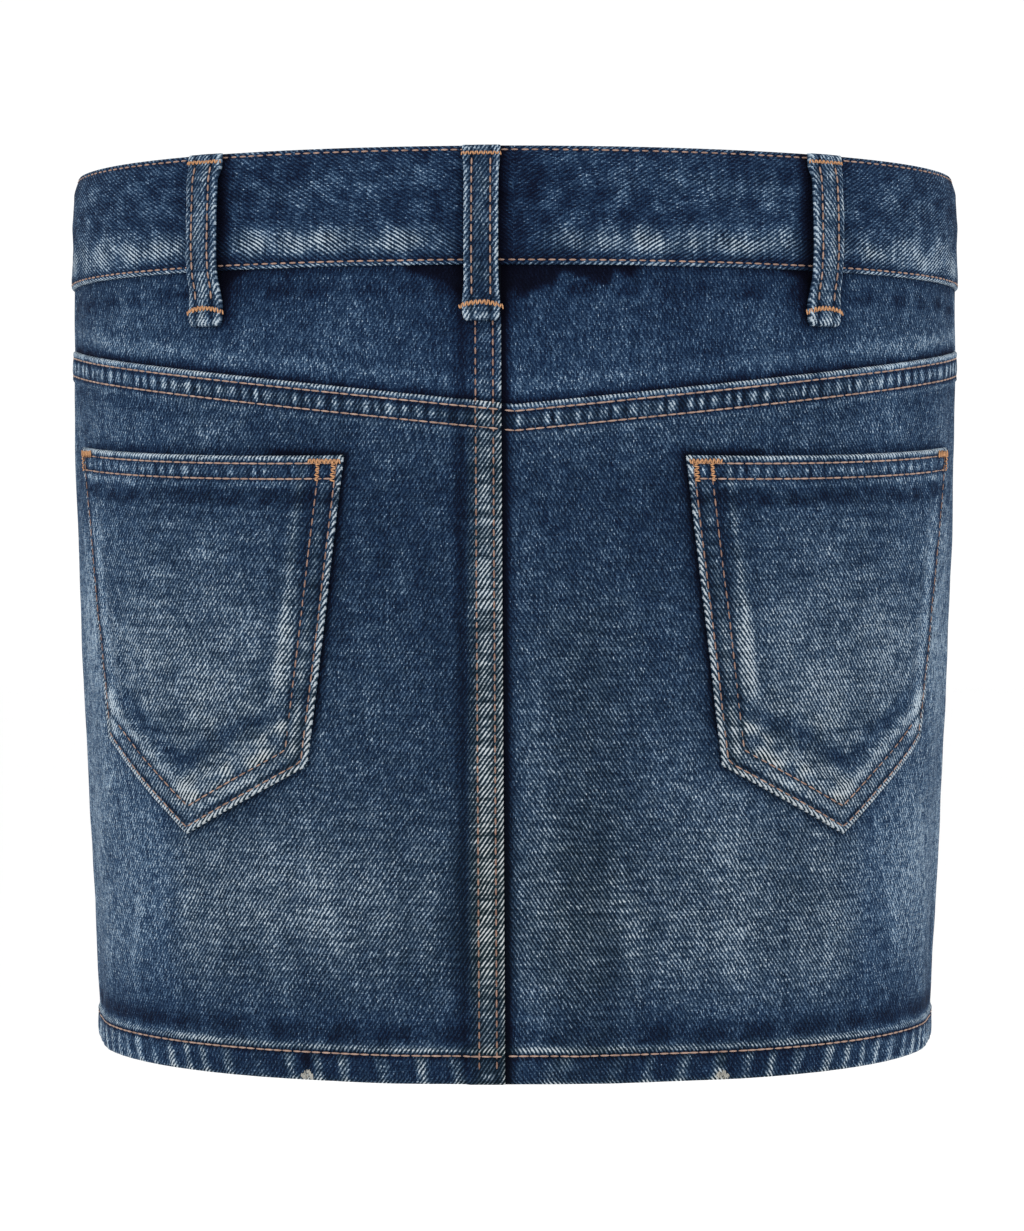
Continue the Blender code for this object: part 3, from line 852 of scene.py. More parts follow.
def from_back_lap(around, down):
    """Distance from the centre back lap's edge, into the left side."""
    return around - back_lap_edge(down)


def back_lap_rise(side, around, down):
    """The felled centre back seam: a fold edge, a padded strip and a step down."""
    if side < 0:
        return 0.0
    inward = from_back_lap(around, down)
    pucker = 0.00016 * waves(down, around, 0.0062, 21) * bump(inward - 0.006, 0.0065)
    strip = LAP_RISE * step_down(inward, BACK_LAP)
    return strip + pucker - rounded(inward, 0.0010) - rows_dip(inward, SEAM_ROWS)


def rows_dip(inward, rows):
    """Rows of sewing pull the cloth down a little."""
    return sum(0.00028 * glow(inward - row, 0.0008) for row in rows)


def hem_rise(around, down):
    """The turned hem, roped along its fold as washing twists it."""
    above = SKIRT_LENGTH - down
    turned = step_down(above, HEM_HEIGHT)
    rope = 0.00036 * hem_rope(around, down) * bump(above - 0.0040, 0.0062)
    dip = 0.0003 * glow(down - HEM_ROW, 0.0009)
    return HEM_RISE * turned + rope - dip - rounded(above, 0.0013)


def hem_depth(down):
    above = SKIRT_LENGTH - down
    return HEM_DEPTH * step_down(above, HEM_HEIGHT) - rounded(above, 0.0011)


BACK_EDGE = (0.0, 0.0002, 0.0006, 0.0012, 0.0020, 0.0026, 0.0034, 0.0048, 0.0062, 0.0076, 0.0088)
BACK_EDGE += (0.0097, 0.0106, 0.0116, BACK_LAP, 0.0133, 0.0141, BACK_LAP + LAP_STEP, 0.0162)
YOKE_EDGE = (0.0, 0.0002, 0.0006, 0.0012, 0.0019, 0.0026, 0.0034, 0.0048, 0.0062, 0.0076, 0.0088)
YOKE_EDGE += (0.0097, 0.0105, YOKE_LAP, 0.0119, 0.0127, YOKE_LAP + LAP_STEP, 0.0150)
HEM_EDGE = (0.0, 0.0003, 0.0008, 0.0016, 0.0026, 0.0038, 0.0050, 0.0062, 0.0074, 0.0086, 0.0096)
HEM_EDGE += (0.0105, 0.0113, HEM_HEIGHT, 0.0125, 0.0132, HEM_HEIGHT + LAP_STEP, 0.0155)
SEAM_EDGE = (0.0, 0.0008, 0.0020)
HIDDEN_EDGE = (0.0, 0.0015)

BACK_COLUMNS = {
    1: stations(BACK_EDGE, SEAM_EDGE, fine(0.205)),
    -1: stations(SEAM_EDGE, SEAM_EDGE, fine(0.222)),
}


def back_places(side, down):
    """Where each column of the back lies at these heights."""
    edge = back_lap_edge(down)
    seam = side_seam(down) + SEWN_IN
    if side > 0:
        return along(BACK_COLUMNS[1], edge, seam)
    return along(BACK_COLUMNS[-1], edge + SEWN_IN, -seam)


def yoke_seam_downs(side):
    """Where each column of the back crosses the yoke seam."""
    columns = len(BACK_COLUMNS[side][0])
    down = np.full(columns, YOKE_AT_CENTRE)
    for _ in range(6):
        down = yoke_line(back_places(side, down))
    return down


def side_seam_dip(around, down):
    """The plain pressed side seam lies in a shallow groove between its two turnings."""
    away = np.abs(np.abs(around) - side_seam(down))
    return 0.0005 * glow(away, 0.0011) - 0.00035 * bump(away - 0.006, 0.006)


def ragged_dark_patches(around, down, size, seed):
    """Ragged patches, 0 to 1, where the cloth is darkened: unrubbed dye in some places, painted shade in
    others.
    """
    ragged = 1.5 * waves(around, down, size, seed, 0.7) + 0.6 * waves(around, down, size / 3, seed + 1)
    return np.clip(0.45 + ragged, 0, 1)


NO_HOLLOW = -0.002
BAND_HOLLOWS = np.array(
    (
        # around, depth below the waistband
        (-0.1120, 0.0060),
        (-0.1060, 0.0025),
        (-0.0980, NO_HOLLOW),
        (-0.0480, NO_HOLLOW),
        (-0.0400, 0.0042),
        (-0.0345, 0.0020),
        (-0.0265, 0.0078),
        (-0.0155, 0.0012),
        (-0.0080, 0.0060),
        (0.0050, 0.0100),
        (0.0185, 0.0150),
        (0.0215, 0.0100),
        (0.0260, 0.0064),
        (0.0315, 0.0046),
        (0.0380, 0.0028),
        (0.0430, NO_HOLLOW),
        (0.0980, NO_HOLLOW),
        (0.1060, 0.0025),
        (0.1120, 0.0060),
    )
)


def under_band(around, down):
    """The deep shade in the hollows under the waistband, either side of the back belt loops."""
    run = around + 0.9 * (down - BAND_HEIGHT) * (around < 0)
    depth = np.interp(run, *BAND_HOLLOWS.T, left=NO_HOLLOW, right=NO_HOLLOW)
    depth = depth + 0.0006 * waves(around, 0 * down, 0.006, 48)
    return soft_ramp(down - BAND_HEIGHT, depth - 0.0014, depth + 0.0018)


def lower_fade(down):
    """How strongly the seat and thighs are faded at these heights: most above the hem."""
    places = (0.100, 0.140, 0.185, 0.235, 0.262, 0.288, 0.304, 0.316, 0.325, 0.345)
    strengths = (0.00, 0.03, 0.20, 0.42, 0.85, 1.00, 0.75, 0.30, -0.10, -0.05)
    return np.interp(down, places, strengths)


SEAT_SPOTS = (
    # amount, around, down, half width, half height
    # painted shade in a soft fold's trough, right of the centre back lap
    (-0.11, -0.0260, 0.240, 0.0150, 0.130),
    (0.13, -0.0880, 0.285, 0.0180, 0.045),
    (-0.10, 0.1080, 0.275, 0.0110, 0.050),
    (-0.14, -0.0370, 0.304, 0.0200, 0.030),
    (0.20, -0.0270, 0.190, 0.0260, 0.050),
)
SEAT_PAIRS = (
    # The same, alike on both sides.
    (0.08, 0.0780, 0.278, 0.0260, 0.035),
    (-0.22, 0.0600, 0.150, 0.0260, 0.060),
    (-0.10, 0.1040, 0.290, 0.0130, 0.040),
)
THIGH_PAIRS = (
    (0.40, 0.345, 0.225, 0.090, 0.140),
    (0.16, 0.350, 0.105, 0.100, 0.080),
)
# Pale bands towards the side seams: partly wear, partly a painted highlight.
SIDE_FADES_AND_HIGHLIGHTS = (
    # amount, distance round where full and where none, down, half height
    (0.42, 0.188, 0.178, 0.175, 0.065),
    (0.18, 0.158, 0.132, 0.240, 0.100),
    (0.03, 0.174, 0.150, 0.240, 0.110),
)


def seat_fade_and_shade(around, down):
    """The seat: a dark middle, pale to either side above the hem and palest at the side seams, partly by a
    painted highlight there.
    """
    distance = np.abs(around)
    fading_and_shade = 0.40 * soft_ramp(distance, 0.075, 0.016) + 0.07 * waves(around, down, 0.012, 45, 8.0)
    fading_and_shade = fading_and_shade * lower_fade(down) - 0.05 * bump(down - 0.128, 0.02)
    fading_and_shade += spots(around, down, SEAT_SPOTS) + spots(distance, down, SEAT_PAIRS)
    # Painted shade below the far step of the centre back lap, and right of the lap a painted highlight
    # along a soft fold's ridge.
    fading_and_shade -= 0.22 * bump(around - 0.0200, 0.006) + 0.06 * bump(around - 0.031, 0.012)
    fading_and_shade += 0.26 * bump(around + 0.0060, 0.0110) * ramp(0.235 - down, 0, 0.06)
    # Paler towards the side seams, partly as a painted highlight.
    for amount, full, none, below, half_height in SIDE_FADES_AND_HIGHLIGHTS:
        fading_and_shade += amount * soft_ramp(distance, full, none) * bump(down - below, half_height)
    fading_and_shade += 0.16 * soft_ramp(distance, 0.192, 0.150) * ramp(0.13 - down, 0, 0.07)
    # Painted shade in the hollows under the waistband, and a ragged painted shadow along the top of the
    # yoke's seam; ragged dark patches just below the waistband and lower down.
    above = yoke_line(around) - down
    dark = ragged_dark_patches(around, down, 0.012, 49)
    fading_and_shade -= 1.7 * under_band(around, down) - 0.30 * bump(above - 0.0068, 0.0044)
    fading_and_shade -= (0.15 + 0.45 * dark) * bump(above - 0.0006, 0.0036) * (above > 0)
    fading_and_shade -= (0.05 + 0.55 * dark) * bump(down - 0.0540, 0.0050)
    return fading_and_shade - 0.12 * dark * ramp(down - 0.120, 0.06, 0.12) * (above < 0)


def body_fade_and_shade(around, down):
    """The body denim's fading and painted shade, as the logarithm of its lightness."""
    distance = np.abs(around)
    back = ramp(distance, 0.200, 0.235)
    front = 1 - back
    fading_and_shade = -1.47 + 0.07 * waves(around, down, 0.048, 41, 1.4)
    fading_and_shade += 0.035 * waves(around, down, 0.016, 42, 1.2)
    fading_and_shade += 0.05 * waves(around, down, 0.0060, 43, 9.0)
    fading_and_shade += 0.17 * bump(down - 0.105, 0.022) + back * seat_fade_and_shade(around, down)
    # The sides are paler, partly a painted highlight and partly wear, and keep a bluer dye.
    sides = back * soft_ramp(distance, 0.140, 0.090)
    fading_and_shade += 0.18 * sides * ramp(down, 0.200, 0.270)
    # The front thighs, and the whiskers of the sitting creases.
    fading_and_shade += front * spots(distance, down, THIGH_PAIRS)
    fading_and_shade -= front * 0.16 * ragged_dark_patches(around, down, 0.024, 47) * bump(down - 0.220, 0.110)
    fading_and_shade += 420 * np.clip(crease(around, down), -0.0006, 0.0009)
    # The side seam is rubbed pale; just under the waistband and round the loops the cloth gets painted
    # shade.
    seam_away = distance - side_seam(down)
    fading_and_shade += (0.30 + 0.12 * waves(around, down, 0.012, 44)) * glow(seam_away, 0.0080)
    fading_and_shade += 0.30 * glow(np.abs(seam_away) - 0.0022, 0.0011) - 1.3 * glow(seam_away, 0.0008)
    # Painted shadow under the waistband.
    fading_and_shade -= (0.30 - 0.25 * sides) * glow(down - BAND_HEIGHT, 0.009)
    fading_and_shade -= 0.35 * glow(down - BAND_HEIGHT, 0.0022)
    fading_and_shade -= (0.22 + 0.50 * ragged_dark_patches(around, down, 0.020, 46)) * bump(down - 0.3275, 0.0068)
    # Painted shade round the belt loops, deepest on each loop's side towards the centre line.
    for loop in LOOPS:
        away = around - loop_middle(loop, down)
        shade = beside_loop(loop, around, down, DEEP_SHADE, ((0.50, 0.0, 0.0018),))
        fading_and_shade -= 0.40 * glow(away, 0.0125) * ramp(down, 0.064, 0.072)
        fading_and_shade -= shade * ramp(down, 0.060, 0.068)
    return fading_and_shade


def body_wear(around, down):
    """How grey the body's denim has gone: hardly at all on the yoke, more above the hem."""
    distance, yoke = np.abs(around), yoke_line(around)
    back = ramp(distance, 0.200, 0.235)
    inner = soft_ramp(distance, 0.110, 0.180)
    seat = (0.26 * inner - 0.08 * (1 - inner)) * np.clip(lower_fade(down), 0, 1)
    seat -= 0.22 * soft_ramp(distance, 0.154, 0.128) + 0.16 * ramp(down, yoke - 0.004, yoke + 0.010)
    seat -= 0.08 * soft_ramp(distance, 0.150, 0.120) * ramp(0.265 - down, 0, 0.03)
    seat += 0.16 * bump(around + 0.0250, 0.0300) * soft_ramp(0.185 - down, 0, 0.035)
    thigh = 0.14 * bump(distance - 0.345, 0.09) * bump(down - 0.225, 0.14)
    return 0.12 + back * seat + (1 - back) * thigh


SEAM_LINES = (
    # amount, distance in, width: a pale rubbed fold edge, painted shade in the gutter at each row, pale
    # sides to them, and painted shade past the turning's step
    (0.85, 0.0005, 0.0012),
    (-1.00, SEAM_ROW_NEAR + 0.0006, 0.0009),
    (-1.00, SEAM_ROW_FAR, 0.0011),
    (0.22, 0.0118, 0.0012),
    (-0.14, 0.0155, 0.0020),
)
# amount, distance in, width: painted shade in the gutters at the lap's two rows, and painted shadow at the
# foot of its step
BACK_SEAM_LINES = (
    (-0.80, SEAM_ROW_NEAR + 0.0004, 0.0008),
    (-0.60, SEAM_ROW_FAR - 0.0003, 0.0010),
    (-0.60, BACK_LAP + 0.0024, 0.0022),
)


def seam_light(inward):
    """The wear across a felled seam, with painted shade in its rows' gutters."""
    return lines(inward, SEAM_LINES) + 0.02 * bump(inward - 0.0062, 0.0040)


def seam_pucker(inward):
    return 0.68 * bump(inward - 0.0062, 0.0046)


def back_seam_paint(side, around, down):
    """Fade, worn grey and pucker of the centre back seam, which is rubbed palest of all, with a painted
    shadow beside its raised fold and painted shade in its gutters.
    """
    inward = from_back_lap(around, down)
    if side < 0:
        # On the right panel: a painted shadow beside the lap's raised fold.
        outside = -inward
        return -3.6 * glow(outside - 0.0004, 0.0017) - 0.5 * glow(outside, 0.0040), 0.0, 0.0
    strip = soft_ramp(inward, 0.0116, 0.0134)
    past_row = soft_ramp(inward, 0.0105, 0.0096)
    lower = ramp(0.118 - down, 0, 0.035)
    patch = waves(around, down, 0.0085, 51, 2.2)
    foot = ramp(0.316 - down, 0.0, 0.014)
    shade_and_fade = strip * (0.12 + 0.32 * lower + 0.12 * patch - 0.46 * past_row - 0.22 * foot)
    shade_and_fade -= 0.22 * bump(inward - 0.0013, 0.0016)
    shade_and_fade += (0.45 - 0.2 * lower) * glow(inward - 0.0004, 0.0010)
    shade_and_fade += lines(inward, BACK_SEAM_LINES)
    worn = strip * (0.12 + 0.36 * lower + 0.12 * ramp(0.25 - down, 0, 0.1) - 0.12 * foot - 0.2 * past_row)
    return shade_and_fade, worn + 0.25 * glow(inward, 0.0012), -0.20 * strip * bump(inward - 0.0062, 0.0044)


def hem_rope(around, down):
    """The hem's slanted cockles, closest together at the sides and never quite even."""
    above = SKIRT_LENGTH - down
    run = np.abs(around) - 0.28 * above
    turns = np.interp(run, (-0.1, 0.0, 0.06, 0.12, 0.25, 0.50), (-7.0, 0.0, 4.2, 9.2, 25.0, 51.0))
    return np.sin(2 * np.pi * turns + 1.6 * waves(around, 0 * down, 0.060, 31))


NICKS = (0.0770, -0.0770)


def hem_paint(around, down):
    """Fade and worn grey of the hem: a pale line above its sewing, rubbed cockles below, and painted shade
    in its row's gutter.
    """
    above = SKIRT_LENGTH - down
    inside = ramp(above, 0.0100, 0.0108)
    tops = np.clip(1.15 * hem_rope(around, down) - 0.12 + 0.35 * waves(around, down, 0.010, 64), 0, 1)
    tops = tops * np.clip(0.78 + 0.45 * waves(around, 0 * down, 0.028, 63), 0.3, 1.0)
    outer = soft_ramp(np.abs(around), 0.150, 0.090)
    patch = waves(around, down, 0.026, 61)
    low = ramp(above, 0.002, 0.011)
    shade_and_fade = inside * (-0.42 + 0.50 * outer + (0.92 + 0.36 * low) * tops + 0.08 * patch)
    shade_and_fade += (0.66 + 0.16 * patch) * glow(above - 0.0124, 0.0011)
    shade_and_fade += (0.12 + 0.26 * outer) * glow(above - 0.0140, 0.0015)
    # The bottom fold is rubbed pale; painted shade lies in the row's gutter.
    shade_and_fade += 0.45 * glow(above, 0.0010) - 1.40 * glow(above - 0.0105, 0.0010)
    worn = 0.40 * glow(above, 0.0013) + 0.40 * glow(above - 0.0124, 0.0014)
    worn += inside * (0.46 * tops - 0.06)
    for place in NICKS:
        torn = glow(around - place, 0.0019) * glow(above - 0.0010, 0.0026)
        shade_and_fade += 1.0 * torn - 1.1 * glow(around - place, 0.0024) * glow(above - 0.0072, 0.0024)
        worn += 0.9 * torn
    return shade_and_fade, worn


def pocket_shadow(around, down):
    """A painted shadow on the panel close round the pocket, deepest along its inner part."""
    distance = np.abs(around)
    away = outside_pocket(distance, down)
    inner = ramp(distance, 0.090, 0.096) * ramp(down, 0.214, 0.220)
    return -(0.50 + 1.4 * inner) * glow(away, 0.0016) - 0.10 * glow(away - 0.002, 0.0055)


def outside_pocket(around, down):
    """Distance outside the pocket's outline, 0 inside it."""
    names = list(POCKET_CORNERS)
    away = 0.0
    for first, second in zip(names, names[1:] + names[:1]):
        away = np.maximum(away, -from_pocket_edge(first, second, around, down))
    return away


def make_yoke(word, side):
    seam = yoke_seam_downs(side) + SEWN_IN
    rows = stations(HIDDEN_EDGE, EDGE, fine(0.045))
    down = along(rows, np.full((len(seam), 1), PANEL_TOP), seam[:, None]).T
    around = back_places_at(side, down)
    rise = back_lap_rise(side, around, down) - side_seam_dip(around, down)
    faces = skin(around, down, rise), skin(around, down, -CLOTH)
    seam_fade_and_shade, seam_worn, pucker = back_seam_paint(side, around, down)
    # A painted shadow on the yoke just above the back panel's raised turning.
    shade_and_fade = body_fade_and_shade(around, down) + seam_fade_and_shade - 1.30 * glow(seam[None, :] - down, 0.0016)
    paint = shade_and_fade, body_wear(around, down) + seam_worn, pucker
    add_cloth("yoke_" + word, faces, (around, down), paint, PANEL_DENIM[side], ["waistband_cloth"])


def back_places_at(side, down):
    """Like back_places, where each column has its own heights."""
    shift, share = BACK_COLUMNS[side]
    edge = back_lap_edge(down) + (0.0 if side > 0 else SEWN_IN)
    seam = side * (side_seam(down) + SEWN_IN)
    return edge + side * shift[None, :] + share[None, :] * (seam - edge)


def back_rise(side, around, down):
    """The back panel's outer face: its yoke lap, centre back lap, hem and side seam."""
    below_yoke = down - yoke_line(around)
    pucker = 0.00020 * waves(around, down, 0.0060, 22) * bump(below_yoke - 0.006, 0.0065)
    lap = LAP_RISE * step_down(below_yoke, YOKE_LAP)
    lap = lap + pucker - rounded(below_yoke, 0.0010) - rows_dip(below_yoke, SEAM_ROWS)
    rise = lap + back_lap_rise(side, around, down) + hem_rise(around, down)
    return rise - side_seam_dip(around, down)


def make_back(word, side):
    top = yoke_seam_downs(side)
    rows = stations(YOKE_EDGE, HEM_EDGE, fine(0.225))
    down = along(rows, top[:, None], np.full((len(top), 1), SKIRT_LENGTH)).T
    around = back_places_at(side, down)
    rise, depth = back_rise(side, around, down), CLOTH + hem_depth(down)
    faces = skin(around, down, rise), skin(around, down, -depth)
    below_yoke = down - top[None, :]
    seam_fade_and_shade, seam_worn, pucker = back_seam_paint(side, around, down)
    hem_fade_and_shade, hem_worn = hem_paint(around, down)
    shade_and_fade = body_fade_and_shade(around, down) + seam_fade_and_shade + hem_fade_and_shade + seam_light(below_yoke)
    shade_and_fade = shade_and_fade + pocket_shadow(around, down)
    shade_and_fade = shade_and_fade + 0.30 * soft_ramp(np.abs(around), 0.150, 0.090) * bump(below_yoke - 0.0055, 0.0085)
    worn = body_wear(around, down) + seam_worn + hem_worn + 0.5 * glow(below_yoke, 0.0012)
    worn = worn + 0.25 * bump(below_yoke - 0.0062, 0.0045)
    on_lap = ramp(from_back_lap(around, down), 0.010, 0.012) if side > 0 else 0.0
    pucker = seam_pucker(below_yoke) * (1 - on_lap) + pucker * ramp(0.012 - below_yoke, 0, 0.002)
    paint = shade_and_fade, worn, pucker
    rests_on = ["yoke_cloth_" + word]
    add_cloth("back_" + word, faces, (around, down), paint, PANEL_DENIM[side], rests_on)


def fly_light(inward, down):
    """Wear along the front lap's edge with painted shade in its first row's gutter, and the fly's facing
    showing through as a pale ridge.
    """
    light = lines(inward, ((0.70, 0.0, 0.0011), (-0.30, FRONT_ROWS[0], 0.0010)))
    return light + 0.30 * glow(inward - FLY_WIDTH - 0.0018, 0.0016) * ramp(down, FLY_END, 0.160)


def front_outs(side, around, down):
    """Outer and inner face of a front panel; the right one is tucked behind the left."""
    rise = hem_rise(around, down) - side_seam_dip(around, down)
    depth = CLOTH + hem_depth(down)
    distance = np.abs(around)
    if side > 0:
        inward = front_edge(down) - distance
        return rise - rounded(inward, 0.0009), -depth
    hem = step_down(SKIRT_LENGTH - down, HEM_HEIGHT)
    tuck = FRONT_TUCK + (HEM_RISE + HEM_DEPTH) * hem
    tuck = tuck * ramp(to_front(down) - distance, TUCK_FULL, TUCK_START)
    return rise - tuck, -depth - tuck


def make_front(word, side):
    rows = stations(HIDDEN_EDGE, HEM_EDGE, fine(0.250))
    down = along(rows, PANEL_TOP, SKIRT_LENGTH)[:, None]
    last = EDGE if side > 0 else (0, 0.0005, 0.0020)
    columns = stations(SEAM_EDGE, last, fine(0.222))
    lap = FRONT_LAP if side > 0 else FRONT_UNDERLAP
    start, end = side_seam(down) - SEWN_IN, to_front(down) + lap
    around = side * along(columns, start, end)
    down = np.broadcast_to(down, around.shape)
    rise, depth = front_outs(side, around, down)
    faces = skin(around, down, rise), skin(around, down, depth)
    hem_fade_and_shade, hem_worn = hem_paint(around, down)
    shade_and_fade, worn = body_fade_and_shade(around, down) + hem_fade_and_shade, body_wear(around, down) + hem_worn
    inward = front_edge(down) - np.abs(around)
    if side > 0:
        shade_and_fade = shade_and_fade + fly_light(inward, down)
        worn = worn + 0.4 * glow(inward, 0.0011)
    else:
        # The right front's edge lies under the left lap: painted shade there.
        shade_and_fade = shade_and_fade - 0.80 * ramp(inward - 0.012, 0.0, 0.003)
    paint, rests_on = (shade_and_fade, worn), ["waistband_cloth"]
    add_cloth("front_" + word, faces, (around, down), paint, PANEL_DENIM[side], rests_on)


# --- Waistband ------------------------------------------------------------------------------------

BAND_EDGE = (0.0, 0.0003, 0.0008, 0.0014, 0.0020, 0.0027)
BAND_ROWS, BAND_COLUMNS = 26, 560  # even stations between the edges


def band_tuck(around, down):
    """The button end is tucked in behind the buttonhole end."""
    from_start = around + to_front(down) + BAND_UNDER_END
    full = BAND_UNDER_END + BAND_BUTTON_END + 0.0015
    return BAND_TUCK * ramp(from_start, full, full + 0.015)


def band_roll(down):
    """The band's top edge rolls in a little towards the waist."""
    return 0.0016 * bump(down, 0.0080)


def band_rise(around, down):
    low, high = down, BAND_HEIGHT - down
    ripple = band_ripple(around, down) * bump(down - BAND_HEIGHT / 2, BAND_HEIGHT / 2)
    pucker = 0.00013 * waves(around, down, 0.0058, 83) * glow(high - 0.0030, 0.0028)
    dip = 0.00026 * sum(glow(edge - BAND_ROW, 0.0007) for edge in (low, high))
    rise = BAND_RISE + ripple + pucker - dip - band_roll(down)
    return rise - rounded(low, 0.0013) - rounded(high, 0.0011) - band_tuck(around, down)


Loop = namedtuple("Loop", "word side from_centre in_front")
CENTRE_LOOP = Loop("back_centre", 1, LOOP_BACK_CENTRE, False)
LOOPS = [CENTRE_LOOP]
for side_word, side_sign in SIDES:
    LOOPS.append(Loop("back_" + side_word, side_sign, LOOP_BACK_SIDE, False))
    LOOPS.append(Loop("front_" + side_word, side_sign, LOOP_FRONT_FROM_CENTRE, True))


def loop_middle(loop, down):
    """Where a loop's middle line lies, from the centre back or the centre front."""
    if loop.in_front:
        return loop.side * (to_front(down) - loop.from_centre)
    return loop.side * (loop.from_centre + 0.0 * down)


BAND_TOP_LINES = (
    # amount, distance from the band's top, width: a pale rubbed edge, painted shade in its row's gutter,
    # and a faint darker line below
    (0.40, 0.0, 0.0012),
    (-0.40, BAND_ROW, 0.0009),
    (-0.10, 0.006, 0.004),
)
BAND_SHADE = ((1.5, 0.0, 0.0024), (0.35, 0.0, 0.0055))  # beside the loops: the same columns
DEEP_SHADE = ((1.9, 0.0, 0.0028), (0.35, 0.0, 0.007))  # and below the band
BAND_LOW_LINES = (
    # The same from its lower edge: a pale rubbed fold and painted shade in its row's gutter.
    (0.75, 0.0005, 0.0010),
    (-0.80, BAND_ROW + 0.0002, 0.0009),
)


def beside_loop(loop, around, down, towards, away):
    """Lines of shade on a loop's two sides: the one that faces the centre line, and the other."""
    distance = around - loop_middle(loop, down)
    beside = np.abs(distance) - LOOP_HALF
    return np.where(distance * loop.side < 0, lines(beside, towards), lines(beside, away))


def band_paint(around, down):
    """The band is rubbed pale in its lower part between the loops and has painted shade beside them."""
    high = BAND_HEIGHT - down
    loop_shade, shade = 0.0, 0.0
    # Painted shade round each loop, broadest towards the wearer's right, with a sharper painted shadow
    # beside it.
    for loop in LOOPS:
        away = around - loop_middle(loop, down)
        central = loop is CENTRE_LOOP
        right = glow(away + 0.0080, 0.0200) if central else 0.5 * glow(away, 0.0110)
        loop_shade = loop_shade + np.where(away < 0, right, (0.6 + 0.4 * central) * glow(away, 0.0115))
        shade = shade + beside_loop(loop, around, down, BAND_SHADE, ((0.40, 0.0, 0.0016),))
    loop_shade = np.clip(loop_shade, 0, 1) * (0.45 + 0.55 * ramp(0.022 - down, 0.0, 0.014))
    side_face = bump(np.abs(around) - 0.185, 0.060)
    patch = np.clip(0.82 + 0.50 * waves(around, down, 0.017, 91, 0.7), 0.2, 1.15)
    low = bump(high - 0.0092, 0.0100 + 0.004 * side_face) * (1 - loop_shade)
    low = low * (1 - 0.35 * ramp(to_front(down) - np.abs(around), 0.180, 0.240))
    upper = np.clip(0.35 + 0.9 * waves(around, down, 0.026, 94, 1.2), 0, 1) * (1 - loop_shade)
    upper = upper * bump(down - 0.0150, 0.0140)
    shade_and_fade = -1.42 - shade + 0.14 * waves(around, down, 0.030, 92) + 0.10 * waves(around, down, 0.010, 93)
    shade_and_fade = shade_and_fade + 0.60 * low * patch - 0.46 * loop_shade + 0.20 * side_face
    shade_and_fade = shade_and_fade - 0.38 * glow(high - 0.0036, 0.0015) * (1 - side_face)
    shade_and_fade = shade_and_fade + 0.26 * upper + 560 * np.clip(band_ripple(around, down), -0.0006, 0.0004)
    shade_and_fade = shade_and_fade - 0.30 * ragged_dark_patches(around, down, 0.014, 95) * bump(down - 0.018, 0.018)
    shade_and_fade = shade_and_fade - 0.26 * ragged_dark_patches(around, 0.35 * down, 0.0095, 97) * (1 - 0.7 * low)
    shade_and_fade = shade_and_fade + lines(down, BAND_TOP_LINES) + lines(high, BAND_LOW_LINES)
    worn = 0.09 + 0.30 * glow(down, 0.0012) + 0.35 * glow(high, 0.0010)
    worn = worn + 0.54 * low * patch * (1 - 0.45 * side_face) + 0.16 * upper
    return shade_and_fade, worn


def band_ripple(around, down):
    """Soft slanting wrinkles where the band has bent round the waist."""
    away = np.abs(around)
    ripple = 0.00022 * waves(away + 0.9 * down, down - 0.3 * away, 0.014, 81, 2.2)
    ripple = ripple + 0.00016 * waves(away + 0.4 * down, 0.5 * down, 0.0095, 84, 2.5)
    return ripple + 0.00014 * waves(away + 1.3 * down, down, 0.0075, 82)


def make_waistband():
    rows = stations(BAND_EDGE, BAND_EDGE, BAND_ROWS)
    down = along(rows, 0.0, BAND_HEIGHT)[:, None]
    eye = (EYE_FROM_END - EYE_HALF, EYE_FROM_END + EYE_HALF)
    columns = stations(EDGE, EDGE + eye, BAND_COLUMNS)
    start = -(to_front(down) + BAND_UNDER_END)
    around = along(columns, start, band_end(down))
    down = np.broadcast_to(down, around.shape)
    to_end = band_end(down) - around
    rise = band_rise(around, down) - rounded(to_end, 0.0011)
    drop = rounded(down, 0.0011) + rounded(BAND_HEIGHT - down, 0.0011)
    depth = CLOTH + band_tuck(around, down) + band_roll(down) - drop
    faces = skin(around, down, rise), skin(around, down, -depth)
    shade_and_fade, worn = band_paint(around, down)
    shade_and_fade = shade_and_fade + 0.60 * glow(to_end, 0.0011)
    shape_rows, shape_columns = around.shape
    cut = np.zeros((shape_rows - 1, shape_columns - 1), bool)
    middle_rows = np.abs((down[:-1, 0] + down[1:, 0]) / 2 - BAND_HEIGHT / 2) < EYE_HALF - 0.0004
    cut[middle_rows, shape_columns - len(EDGE) - 2] = True
    materials = (BAND_DENIM[1], BAND_DENIM[1], BAND_DENIM[-1])
    piece = add_cloth("waistband", faces, (around, down), (shade_and_fade, worn), materials, [], cut)
    weave = piece.data.uv_layers["pattern"].data
    for face in piece.data.polygons:
        face.material_index = 0 if weave[face.loop_start].uv.x < 0 else 2


# --- Pockets --------------------------------------------------------------------------------------


def corner_mix(first, second, share):
    """Pattern places part of the way from one pocket corner to another."""
    a, b = POCKET_CORNERS[first], POCKET_CORNERS[second]
    return tuple(p + (q - p) * share for p, q in zip(a, b))


